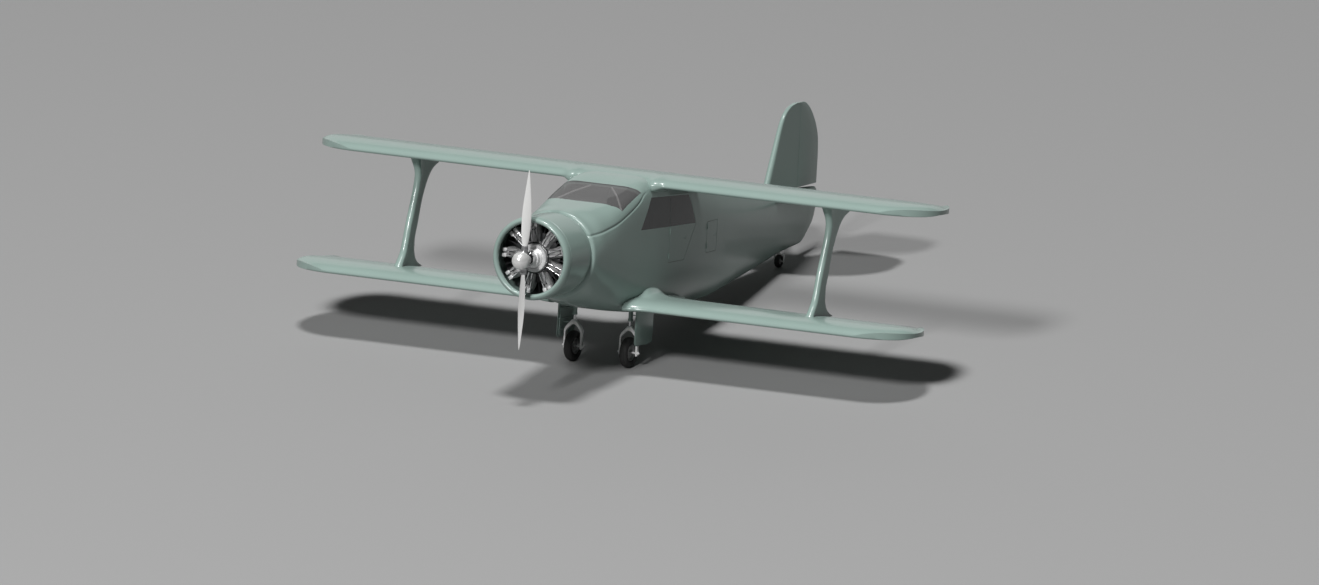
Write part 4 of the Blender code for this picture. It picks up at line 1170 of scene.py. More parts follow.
@dataclass
class Fuselage(Assembly):
    """The cabin shell, the tail cone and the cabin's lining."""

    first: float = 1.0
    joint: float = 5.5
    last: float = 9.83

    def build(self) -> None:
        """Make the shell, the tail cone and the lining."""
        openings = [plate(WINDSHIELD, *ROOF_SKIN), plate(SIDE_WINDOW, *RIGHT_SKIN),
                    plate(FRONT_PANE, *LEFT_SKIN), plate(DOOR, *LEFT_SKIN),
                    plate(BAGGAGE, *LEFT_SKIN)]
        shell = carve(HULL.layer(self.first, self.joint, WALL), Cut.REMOVE, *openings)
        self.knuckles(shell)
        self.piece("cabin_shell", shell, PAINT, "airframe", "cabin_fuselage", outward=False)
        tail = HULL.layer(self.joint + 0.0004, self.last, 0.028)
        self.piece("tail_cone", tail, PAINT, "airframe", "tail_fuselage", outward=False)
        self.lining()
        self.gap_shades()

    def gap_shades(self) -> None:
        """Set a thin dark strip, like a seal, deep in the gap round each door: painted shade for
        the gap.
        """
        for name, way in (("cabin_door_gap_shade", CABIN_DOORWAY),
                          ("baggage_door_gap_shade", BAGGAGE_DOORWAY)):
            # the dark trim band sits 4 to 13 mm under the skin in the door gap, as painted shade
            # for the gap
            band = carve(HULL.solid(way.first, way.last, 0.004, 0.08), Cut.KEEP,
                         plate(drawn_in(way.outline, 0.0003), *LEFT_SKIN))
            inside = HULL.solid(way.first - 0.1, way.last + 0.1, 0.013, 0.08, 44)
            band = carve(band, Cut.REMOVE, inside,
                         plate(drawn_in(way.outline, 0.005), "x", 0.3, 1.1))
            self.piece(name, band, TRIM, "airframe", outward=False)

    def knuckles(self, shell: Bm) -> None:
        """Add the fixed half of each door hinge to the shell.

        Args:
            shell: the cabin's shell.
        """
        for way in (CABIN_DOORWAY, BAGGAGE_DOORWAY):
            x, y = way.hinge
            for z in way.heights:
                tube(shell, (x - 0.009, y, z + 0.0455), (x - 0.009, y, z + 0.085), 0.0045, steps=16)
                block(shell, (x - 0.0155, y - 0.011, z + 0.065), (0.005, 0.022, 0.03), 0.0015)

    def lining(self) -> None:
        """Make the cloth lining inside the cabin's walls."""
        lining = carve(HULL.solid(1.9, 4.495, 0.0362, 0.1, 40), Cut.REMOVE,
                       HULL.solid(1.8, 4.6, 0.0405, 0.1, 40),
                       plate(WINDSHIELD, *ROOF_SKIN),
                       plate(drawn_in(SIDE_WINDOW, -0.004), *RIGHT_SKIN),
                       plate(drawn_in(FRONT_PANE, -0.004), *LEFT_SKIN),
                       plate(drawn_in(DOOR, -0.003), *LEFT_SKIN))
        self.piece("cabin_lining", lining, LINING, "airframe", outward=False)


@dataclass
class Doors(Assembly):
    """The cabin door and the baggage door with their hinges and handles."""

    def build(self) -> None:
        """Make both doors."""
        door = self.leaf(CABIN_DOORWAY)
        pane = drawn_in(DOOR_PANE, (0.001, 0.0085, 0.001, 0.0065))
        door = carve(door, Cut.REMOVE, plate(pane, *LEFT_SKIN))
        self.handle(door, 3.985, 0.02)
        self.piece("cabin_door_skin", door, PAINT, "cabin_door", "cabin_door", outward=False)
        leaf = self.leaf(BAGGAGE_DOORWAY)
        self.handle(leaf, 5.12, -0.05)
        self.piece("baggage_door_skin", leaf, PAINT, "baggage_door", "baggage_door", outward=False)
        card = carve(HULL.solid(3.3, 4.4, 0.0262, 0.1, 40), Cut.REMOVE,
                     HULL.solid(3.2, 4.5, 0.03, 0.1, 40))
        card = carve(card, Cut.KEEP, plate(drawn_in(DOOR, 0.024), *LEFT_SKIN))
        card = carve(card, Cut.REMOVE, plate(drawn_in(DOOR_PANE, -0.006), *LEFT_SKIN))
        self.piece("cabin_door_lining", card, LINING, "cabin_door", outward=False)

    def leaf(self, way: Doorway) -> Bm:
        """Make one door's leaf with its half of the hinge.

        Args:
            way: its doorway.

        Returns:
            The leaf.
        """
        leaf = carve(HULL.solid(way.first, way.last, 0.0, 0.05), Cut.KEEP,
                     plate(drawn_in(way.outline, way.gaps), *LEFT_SKIN))
        leaf = carve(leaf, Cut.REMOVE,
                     HULL.solid(way.first - 0.1, way.last + 0.1, way.thick, 0.08, 44))
        x, y = way.hinge
        for z in way.heights:
            tube(leaf, (x - 0.009, y, z), (x - 0.009, y, z + 0.045), 0.0045, steps=16)
            block(leaf, (x - 0.0155, y + 0.013, z + 0.0225), (0.005, 0.026, 0.032), 0.0015)
        return leaf

    def handle(self, leaf: Bm, y: float, z: float) -> None:
        """Add a flush turn handle.

        Args:
            leaf: the door it sits on.
            y: its place along the fuselage.
            z: its height.
        """
        x = HULL.side_x(y, z)
        tube(leaf, (x - 0.004, y, z), (x + 0.004, y, z), 0.022, 0.019, 28)
        block(leaf, (x + 0.004, y - 0.03, z), (0.008, 0.095, 0.016), 0.0035)


@dataclass
class Glazing(Assembly):
    """The panes and the two cabin braces behind the windshield."""

    gap: float = 0.0006

    def build(self) -> None:
        """Make every pane and the braces."""
        door = drawn_in(DOOR_PANE, (0.001, 0.0085, 0.001, 0.0065))
        for name, outline, through, span, finish, body, node in (
                ("windshield_pane", WINDSHIELD, ROOF_SKIN, (1.6, 2.6), CLEAR, "airframe",
                 "windshield"),
                ("right_side_pane", SIDE_WINDOW, RIGHT_SKIN, (2.3, 4.4), SIDE_SHADE_GLASS, "airframe",
                 "right_side_window"),
                ("left_side_pane", FRONT_PANE, LEFT_SKIN, (2.3, 3.5), SIDE_SHADE_GLASS, "airframe",
                 "left_side_window"),
                ("door_pane", door, LEFT_SKIN, (3.3, 4.4), SIDE_SHADE_GLASS, "cabin_door", "door_window")):
            pane = self.pane(outline, through, *span)
            self.piece(name, pane, finish, body, node, outward=False)
        braces = bmesh.new()
        for side in BOTH:
            path = smooth_path(((side * 0.15, 2.465, 0.832), (side * 0.345, 2.25, 0.735),
                                (side * 0.565, 1.95, 0.59)), 6)
            hose(braces, path, 0.014, 14)
            for end in (path[0], path[-1]):
                bmesh.ops.create_uvsphere(braces, u_segments=14, v_segments=8, radius=0.02,
                                          matrix=Matrix.Translation(end))
        self.piece("windshield_braces", braces, BRACE, "airframe")
        self.seal()

    def pane(self, outline: Outline, through: tuple[str, float, float], first: float,
             last: float) -> Bm:
        """Make one curved pane, flush with the skin.

        Args:
            outline: its outline.
            through: the axis the outline is pushed along, and where the push starts and ends.
            first: where the skin it is cut from starts.
            last: where that skin ends.

        Returns:
            The pane.
        """
        layer = carve(HULL.solid(first, last, 0.0, 0.05), Cut.REMOVE,
                      HULL.solid(first - 0.1, last + 0.1, GLASS, 0.05))
        return carve(layer, Cut.KEEP, plate(drawn_in(outline, self.gap), *through))

    def seal(self) -> None:
        """Run a thin dark seal along the windshield's top edge."""
        bm = bmesh.new()
        spots = []
        for x, y in ((-0.607, 2.494), (-0.465, 2.444), (-0.23, 2.4405), (0.0, 2.439),
                     (0.23, 2.4405), (0.465, 2.444), (0.607, 2.494)):
            row = HULL.stations.at(y)
            angle = halved(0.0, QUARTER, lambda a: HULL.spot(row, a, 0.0).x > abs(x))
            spots.append((x, y, HULL.spot(row, angle, 0.0).y - 0.001))
        hose(bm, smooth_path(spots, 8), 0.006, 8)
        self.piece("windshield_seal", bm, TRIM, "airframe")


@dataclass
class Wings(Assembly):
    """Both wings with ailerons and flaps, and the struts between them."""

    aileron: Pair = (2.35, 4.28)
    flap: Pair = (1.12, 2.86)
    strut_out: float = 3.255

    def build(self) -> None:
        """Make the wings, their moving surfaces and the struts."""
        out = UPPER.stations(0.0)
        rows = [-x for x in reversed(out[1:])] + out
        upper = faced(skin(bmesh.new(), [UPPER.ring(x) for x in rows]))
        coves = [UPPER.cove(*sorted(side * x for x in self.aileron)) for side, _ in SIDES]
        upper = carve(upper, Cut.REMOVE, *coves)
        self.piece("upper_wing_skin", upper, PAINT, "airframe", "upper_wing")
        for side, word in SIDES:
            vane = UPPER.vane(*sorted(side * x for x in self.aileron))
            self.piece(f"aileron_{word}_skin", vane, PAINT, f"aileron_{word}", f"aileron_{word}")
            span = sorted(side * x for x in self.flap)
            wing = skin(bmesh.new(), [LOWER.ring(side * x) for x in LOWER.stations(0.58)])
            wing = carve(faced(wing), Cut.REMOVE, LOWER.cove(*span))
            self.piece(f"lower_wing_{word}_skin", wing, PAINT, "airframe", f"lower_wing_{word}")
            self.piece(f"flap_{word}_skin", LOWER.vane(*span), PAINT, "flaps", f"flap_{word}")
            self.strut(side, word)

    def strut(self, side: float, word: str) -> None:
        """Make one strut: a round front tube faired into a thin web.

        Args:
            side: 1 for left, -1 for right.
            word: the side's name.
        """
        rows = Fair(STRUT_ROWS)
        rings = []
        for z in spaced(STRUT_ROWS[0][0], STRUT_ROWS[-1][0], 70):
            lead, trail, thick = rows.at(z)
            r = 0.6 * thick
            edge = [(lead + r * (1.0 - cos(a)), r * sin(a))
                    for a in spaced(0.0, radians(152.0), 16)]
            start = edge[-1][0]
            edge += [(start + t * (trail - start), r * share)
                     for t, share in ((0.1, 0.37), (0.25, 0.31), (0.5, 0.26), (0.8, 0.2),
                                      (0.96, 0.14), (1.0, 0.06))]
            near = [Vector((side * self.strut_out + half, y, z)) for y, half in edge]
            far = [Vector((side * self.strut_out - half, y, z)) for y, half in edge[1:]]
            rings.append(near + far[::-1])
        self.piece(f"strut_{word}_skin", skin(bmesh.new(), rings), PAINT, "airframe",
                   f"strut_{word}", smooth=50.0)


@dataclass(frozen=True)
class Surface:
    """A tail surface: a fixed part, and a moving one behind its hinge."""

    place: Callable[[float, float, float], Vector]
    rows: tuple[Triple, ...]
    hinge: float
    leaf: Fair
    root_half: float
    taper: Triple
    edge: float
    nose: float = 0.86

    def half(self, out: float) -> float:
        """Give the half thickness at a distance out."""
        loss, start, reach = self.taper
        return self.root_half * (1.0 - loss * unit((out - start) / reach) ** 2)

    def finer(self) -> list[list[float]]:
        """Fill in rows between the table's rows.

        Returns:
            The finer table.
        """
        fair = Fair(tuple((float(k), *row) for k, row in enumerate(self.rows)))
        last = len(self.rows) - 1
        return [fair.at(t) for t in spaced(0.0, float(last), 5 * last)]

    def fixed(self, outs: Sequence[float]) -> Bm:
        """Make the fixed part, its back edge hollowed for the moving part's nose.

        Args:
            outs: the distances out at which the hollow has sections.

        Returns:
            The part.
        """
        rings, hollows = [], []
        for out, lead, _ in self.finer():
            spots = [(lead + s * s * (self.hinge + 0.02 - lead),
                      self.leaf.at(s)[0] * self.half(out)) for s in spaced(0.0, 1.0, 26)]
            rings.append([self.place(out, y, thick) for y, thick in spots]
                         + [self.place(out, y, -thick) for y, thick in reversed(spots[1:])])
        for out in outs:
            r, back = self.half(out) * self.nose + SWING_GAP, self.hinge + 0.32
            spots = [(self.hinge, 0.3)]
            spots += [(self.hinge - r * sin(a), r * cos(a))
                      for a in spaced(0.0, pi, 12)]
            spots += [(self.hinge, -0.3), (back, -0.3), (back, 0.3)]
            hollows.append([self.place(out, *spot) for spot in spots])
        return carve(faced(skin(bmesh.new(), rings)), Cut.REMOVE,
                     faced(skin(bmesh.new(), hollows)))

    def moving(self, rows: Sequence[Sequence[float]]) -> Bm:
        """Make the moving part with its round nose.

        Args:
            rows: distance out, leading edge and trailing edge.

        Returns:
            The part.
        """
        rings = []
        edge = self.edge
        for out, _, trail in rows:
            r, mid = self.half(out) * self.nose, self.hinge + 0.5 * (trail - self.hinge)
            spots = [(self.hinge - r * sin(a), r * cos(a))
                     for a in spaced(0.0, pi, 14)]
            spots += [(mid, -0.56 * r - 0.4 * edge), (trail - 0.01, -edge), (trail, -0.4 * edge),
                      (trail, 0.4 * edge), (trail - 0.01, edge), (mid, 0.56 * r + 0.4 * edge)]
            rings.append([self.place(out, *spot) for spot in spots])
        return skin(bmesh.new(), rings)


@dataclass
class Empennage(Assembly):
    """Fin, rudder, tailplanes and elevators."""

    rudder_hinge: float = 9.08
    rudder_foot: float = 0.203
    rudder_pin: float = 0.1918
    tailplane_z: float = 0.1
    elevator_hinge: float = 9.12
    elevator_root: float = 0.155
    elevator_tube: float = 0.0606
    elevator_corner: float = 0.41
    fin_leaf: Fair = Fair(tuple((sqrt(f), t) for f, t in (
        (0.0, 0.0), (0.0015, 0.22), (0.006, 0.43), (0.012, 0.6), (0.024, 0.8), (0.041, 0.94),
        (0.07, 1.0), (0.3, 1.0), (1.0, 0.86))))
    plane_leaf: Fair = Fair(tuple((sqrt(f), t) for f, t in (
        (0.0, 0.0), (0.02, 0.28), (0.07, 0.54), (0.18, 0.84), (0.4, 1.0), (1.0, 0.86))))

    def build(self) -> None:
        """Make the fin, the rudder, the tailplanes and the elevators."""
        foot, top, y = self.rudder_foot, FIN_ROWS[-1][0] - 0.004, self.rudder_hinge
        upright = Surface(lambda out, y, half: Vector((half, y, out)), FIN_ROWS, y, self.fin_leaf,
                          0.05, (0.45, 0.1, 1.35), 0.004)
        fin = upright.fixed((foot - 0.3, foot, 0.5, 0.85, 1.15, top, top + 0.1))
        self.piece("fin_skin", fin, PAINT, "airframe", "fin")
        rudder = upright.moving([(foot, 0.0, 9.815)] + [row for row in upright.finer()
                                                       if foot + 0.01 < row[0] < top])
        tube(rudder, (0.0, y, self.rudder_pin), (0.0, y, foot + 0.02), 0.014, steps=20)
        self.piece("rudder_skin", rudder, PAINT, "rudder", "rudder")
        for side, word in SIDES:
            self.tailplane(side, word)

    def tailplane(self, side: float, word: str) -> None:
        """Make one tailplane and its elevator.

        Args:
            side: 1 for left, -1 for right.
            word: the side's name.
        """
        z, root, tip = self.tailplane_z, self.elevator_root, TAILPLANE_ROWS[-1][0] - 0.004
        y, corner = self.elevator_hinge, self.elevator_corner
        level = Surface(lambda out, y, half: Vector((side * out, y, z + half)), TAILPLANE_ROWS, y,
                        self.plane_leaf, 0.04, (0.5, 0.0, 1.53), 0.003)
        plane = level.fixed((0.0, root, 0.6, 1.0, 1.3, tip, tip + 0.1))
        self.piece(f"tailplane_{word}_skin", plane, PAINT, "airframe", f"tailplane_{word}")
        vane = level.moving([(root, 0.0, 9.17), (corner, 0.0, 9.654)]
                            + [row for row in level.finer() if corner + 0.01 < row[0] < tip])
        tube(vane, (side * self.elevator_tube, y, z), (side * (root + 0.02), y, z), 0.016, steps=20)
        self.piece(f"elevator_{word}_skin", vane, PAINT, "elevators", f"elevator_{word}")


@dataclass
class Cowling(Assembly):
    """The cowling ring with its rounded lip and its fasteners."""

    lip: tuple[Pair, ...] = (
        (0.265, 0.52), (0.225, 0.512), (0.19, 0.526), (0.178, 0.548), (0.188, 0.572),
        (0.214, 0.59), (0.25, 0.6), (0.29, 0.603))
    barrel: tuple[Pair, ...] = (
        (0.2925, 0.5975), (0.299, 0.5975), (0.302, 0.6035), (0.35, 0.604), (0.42, 0.604),
        (0.6, 0.6035), (0.8, 0.601), (0.9, 0.5965), (0.96, 0.589), (0.99, 0.58),
        (0.999, 0.574), (0.999, 0.566), (0.96, 0.575), (0.7, 0.594), (0.42, 0.594),
        (0.33, 0.585), (0.29, 0.56))

    def build(self) -> None:
        """Spin the ring and set its screws."""
        lip = [(p.x, p.y) for p in smooth_path([(a, r, 0.0) for a, r in self.lip], 7)]
        ring = turned(bmesh.new(), lip + list(self.barrel), 96)
        self.piece("cowling_ring", ring, PAINT, "airframe", "cowling", smooth=30.0)
        screws = bmesh.new()
        for y, radius, count in ((0.322, 0.6037, 30), (0.9, 0.5965, 30)):
            for a in turns(count):
                spot, out = Vector((0, y, 0)), spoke(a)
                tube(screws, spot + out * (radius - 0.002), spot + out * (radius + 0.0012),
                     0.0052, 0.0044, 10)
        self.piece("cowling_screws", screws, PAINT, "airframe")


@dataclass
class RadialEngine(Assembly):
    """The nine-cylinder engine behind the open cowling."""

    cylinders: int = 9
    turn: float = radians(-7.0)
    middle: float = 0.46
    barrel: float = 0.058
    barrel_fin: float = 0.078
    head: float = 0.064
    pitch: float = 0.0122
    fin: float = 0.0034

    def build(self) -> None:
        """Make the case, the finned cylinders and what hangs on them."""
        self.case()
        for name, one, finish in (("cylinder_fins", self.cylinder(), FIN_METAL),
                                  ("rocker_boxes", self.rockers(), ALLOY),
                                  ("pushrod_tubes", self.pushrods(), CHROME),
                                  ("plug_leads", self.leads(), BLACKED)):
            self.piece(name, self.round_shaft(one), finish, "airframe",
                       smooth=40.0 if finish is FIN_METAL else 36.0)
        self.baffles()

    def round_shaft(self, bm: Bm) -> Bm:
        """Repeat what stands on the top cylinder round the shaft.

        Args:
            bm: the mesh of one cylinder's part, pointing up.

        Returns:
            The mesh with all of them.
        """
        faced(bm)
        one = bm.verts[:] + bm.edges[:] + bm.faces[:]
        bmesh.ops.rotate(bm, verts=bm.verts[:], cent=(0, 0, 0),
                         matrix=Matrix.Rotation(self.turn, 3, "Y"))
        for k in range(1, self.cylinders):
            made = bmesh.ops.duplicate(bm, geom=one)["geom"]
            bmesh.ops.rotate(bm, verts=[v for v in made if isinstance(v, bmesh.types.BMVert)],
                             cent=(0, 0, 0),
                             matrix=Matrix.Rotation(2.0 * pi * k / self.cylinders, 3, "Y"))
        return bm

    def cylinder(self) -> Bm:
        """Make one cylinder: a barrel and a head, both closely finned.

        Returns:
            The mesh.
        """
        bm = bmesh.new()
        y = self.middle
        tube(bm, (0, y, 0.18), (0, y, 0.35), self.barrel, steps=24)
        tube(bm, (0, y, 0.206), (0, y, 0.226), 0.07, steps=24)
        tube(bm, (0, y, 0.345), (0, y, 0.5), self.head, self.head * 0.86, 24)
        tube(bm, (0, y, 0.5), (0, y, 0.532), self.head * 0.8, self.head * 0.5, 24)
        for k in range(9):
            z = 0.236 + self.pitch * k
            tube(bm, (0, y, z), (0, y, z + self.fin), self.barrel_fin, steps=28)
        for k in range(13):
            z = 0.349 + self.pitch * k
            radius = 0.0865 - 0.026 * (k / 12.0) ** 3
            tube(bm, (0, y, z), (0, y, z + self.fin), radius, steps=28)
        return bm

    def rockers(self) -> Bm:
        """Make one cylinder's two rocker boxes with their cover screws.

        Returns:
            The mesh.
        """
        bm = bmesh.new()
        for side in BOTH:
            x = side * 0.04
            block(bm, (x, 0.402, 0.484), (0.046, 0.094, 0.062), 0.012, segments=3)
            block(bm, (x, 0.356, 0.484), (0.05, 0.007, 0.066), 0.003)
            for u, v in ((0.018, 0.026), (-0.018, 0.026), (0.018, -0.026), (-0.018, -0.026)):
                tube(bm, (x + u, 0.3525, 0.484 + v), (x + u, 0.3485, 0.484 + v), 0.0042, steps=6)
        return bm

    def pushrods(self) -> Bm:
        """Make one cylinder's pair of pushrod tubes with their end cups.

        Returns:
            The mesh.
        """
        bm = bmesh.new()
        for side in BOTH:
            low, high = Vector((side * 0.022, 0.35, 0.178)), Vector((side * 0.046, 0.372, 0.46))
            way = (high - low).normalized()
            tube(bm, low, high, 0.009, steps=16)
            tube(bm, low, low + way * 0.028, 0.015, 0.0125, 16)
            tube(bm, high - way * 0.022, high, 0.0125, 0.015, 16)
        return bm

    def leads(self) -> Bm:
        """Make one cylinder's spark plug leads and elbows.

        Returns:
            The mesh.
        """
        bm = bmesh.new()
        for side in BOTH:
            plug = Vector((side * 0.02, 0.374, 0.405))
            tube(bm, plug + Vector((0, 0.03, 0)), plug - Vector((0, 0.022, 0)), 0.0085, 0.007, 10)
            bend = plug + Vector((side * 0.012, -0.03, -0.045))
            path = smooth_path((plug - Vector((0, 0.02, 0)), bend, (side * 0.052, 0.345, 0.29),
                                (side * 0.06, 0.345, 0.222)), 5)
            hose(bm, path, 0.0042, 7)
        return bm

    def case(self) -> None:
        """Make the crankcase, its front cover, the lead ring and the nose ring."""
        case = turned(bmesh.new(), CASE_PROFILE, 72, closed=False)
        for count, radius, y, size in ((18, 0.183, 0.3, 0.0062), (12, 0.107, 0.226, 0.0055)):
            for a in turns(count):
                x, z = radius * sin(a), radius * cos(a)
                tube(case, (x, y + 0.012, z), (x, y - 0.008, z), size, steps=6)
        self.piece("crankcase", case, ALLOY, "airframe", "engine", smooth=30.0)
        ring = turned(bmesh.new(), arc(0.345, 0.2185, 0.0095, turns(10)), 72)
        self.piece("lead_ring", ring, BLACKED, "airframe")
        nose = turned(bmesh.new(), ((0.1155, 0.0), (0.1155, 0.06), (0.121, 0.064), (0.132, 0.064),
                                    (0.137, 0.074), (0.152, 0.074), (0.152, 0.0)), 48, closed=False)
        self.piece("thrust_cover", nose, BLACKED, "airframe")

    def baffles(self) -> None:
        """Make the near-black baffles between and behind the cylinders; their black also paints the
        shade inside the cowling and between the cylinders.
        """
        # the black ring lines the cowling's inner wall: painted shade for that wall
        bm = turned(bmesh.new(), ((0.545, 0.2), (0.545, 0.56), (0.575, 0.584), (0.582, 0.584),
                                  (0.556, 0.556), (0.556, 0.2)), 72)
        for k in range(self.cylinders):
            turn = Matrix.Rotation(self.turn + 2.0 * pi / self.cylinders * (k + 0.5), 4, "Y")
            middle = turn @ Vector((0.0, 0.492, 0.38))
            # black plates in the gaps between the cylinders: baffles whose black also paints the
            # gaps' shade
            block(bm, middle, (0.012, 0.11, 0.3), 0.003, turn)
            block(bm, turn @ Vector((0.0, 0.43, 0.3)), (0.06, 0.006, 0.12), 0.002, turn)
        self.piece("cylinder_baffles_and_shade", bm, BLACKED, "airframe")


@dataclass
class PropellerUnit(Assembly):
    """The two-blade propeller, its clamps and the spinner."""

    barrel: float = 0.078

    def build(self) -> None:
        """Make the blades, the hub and the dome."""
        rows = Fair(BLADE_ROWS)
        blades = bmesh.new()
        outs = spaced(0.15, 0.34, 10)[:-1] + spaced(0.34, 1.2, 26)[:-1] + spaced(1.2, 1.2875, 8)
        for way in BOTH:
            rings = []
            for out in outs:
                chord, thick, twist = rows.at(out)
                t = radians(twist)
                ring = []
                for a in turns(24):
                    u, v = 0.5 * chord * cos(a), 0.5 * thick * sin(a)
                    ring.append(Vector((way * (u * cos(t) - v * sin(t)),
                                        u * sin(t) + v * cos(t), way * out)))
                rings.append(ring)
            skin(blades, rings)
        self.piece("propeller_blades", blades, BLADE, "propeller", "propeller", smooth=60.0)
        self.hub()
        dome = [(-0.0705, 0.0), (-0.0705, 0.124), (-0.0755, 0.128)]
        dome += [(-0.084 - 0.166 * sin(a), 0.13 * cos(a) ** 0.9)
                 for a in spaced(0.0, QUARTER, 22)[:-1]] + [(-0.25, 0.0)]
        cone = turned(bmesh.new(), dome, 64, closed=False)
        self.piece("spinner_dome", cone, DOME, "propeller", "spinner", smooth=50.0)

    def hub(self) -> None:
        """Make the hub barrel, the blade sockets and their clamps."""
        bm = turned(bmesh.new(), ((-0.07, 0.0), (-0.07, self.barrel), (0.07, self.barrel),
                                  (0.078, 0.07), (0.098, 0.052), (0.1145, 0.05),
                                  (0.1145, 0.0)), 48, closed=False)
        for way in BOTH:
            tube(bm, (0, 0, way * 0.03), (0, 0, way * 0.15), 0.052, 0.047, 32)
            for low, high, radius in ((0.118, 0.14, 0.0575), (0.15, 0.172, 0.05),
                                      (0.178, 0.202, 0.047)):
                tube(bm, (0, 0, way * low), (0, 0, way * high), radius, steps=32)
            for side in BOTH:
                block(bm, (side * 0.06, 0.0, way * 0.129), (0.026, 0.03, 0.02), 0.004)
                tube(bm, (side * 0.062, -0.022, way * 0.129), (side * 0.062, 0.022, way * 0.129),
                     0.006, steps=8)
                tube(bm, (side * 0.05, 0.03, way * 0.07), (side * 0.07, 0.062, way * 0.098),
                     0.013, steps=14)
        self.piece("propeller_hub", bm, HUB_STEEL, "propeller")


@dataclass(frozen=True)
class WheelSize:
    """The sizes of a wheel with its tyre."""

    radius: float
    rim: float
    half: float
    bore: float
    ribs: int
    bolts: int
    steps: int

    def tread(self) -> list[Pair]:
        """Draw the ribbed tyre's section.

        Returns:
            Pairs of place across and radius.
        """
        mid, tall = 0.5 * (self.radius + self.rim), 0.5 * (self.radius - self.rim)
        profile = []
        for a in spaced(-pi, pi, 96)[:-1]:
            c, s = cos(a), sin(a)
            r = (abs(c) ** 2.4 + abs(s) ** 2.4) ** (-1.0 / 2.4)
            across, out = self.half * r * s, mid + tall * r * c
            if c > 0.0 and abs(across) < 0.62 * self.half:
                wave = cos(pi * self.ribs * across / (0.62 * self.half))
                out -= 0.0035 * (wave > 0.55)
            if c > 0.0 and 0.86 < abs(r * s) < 0.97:
                across *= 1.012
            profile.append((across, out))
        return profile


@dataclass
class Wheelwork(Assembly):
    """A wheel with its tyre."""

    def wheel(self, tyre: str, wheel: str, centre: Sequence[float], size: WheelSize) -> None:
        """Spin a tyre and a dished wheel, and set the wheel's bolts.

        Args:
            tyre: the tyre's CAD node.
            wheel: the wheel's CAD node and body.
            centre: the middle of its axle.
            size: its sizes.
        """
        bm = turned(bmesh.new(), size.tread(), size.steps, centre, "X")
        self.piece(f"{tyre}_tread", bm, TYRE, wheel, tyre, smooth=28.0)
        r, half, bore = size.rim - 0.0006, size.half, size.bore
        side = [(0.78, bore), (0.78, bore * 2.2), (0.7, bore * 2.5), (0.36, bore * 2.9),
                (0.3, bore * 3.4), (0.26, r * 0.62), (0.33, r * 0.8), (0.62, r * 0.885),
                (0.72, r * 0.93), (0.74, r * 0.965), (0.72, r)]
        profile = [(half * a, b) for a, b in side] + [(-half * a, b) for a, b in reversed(side)]
        bm = turned(bmesh.new(), profile, 64, centre, "X")
        for way in BOTH:
            for a in turns(size.bolts):
                spot = Vector(centre) + Vector((0.0, sin(a), cos(a))) * (r * 0.56)
                tube(bm, spot + Vector((way * half * 0.22, 0, 0)),
                     spot + Vector((way * half * 0.4, 0, 0)), r * 0.045, steps=6)
        self.piece(f"{wheel}_rim", bm, WHEEL, wheel, wheel, smooth=30.0)


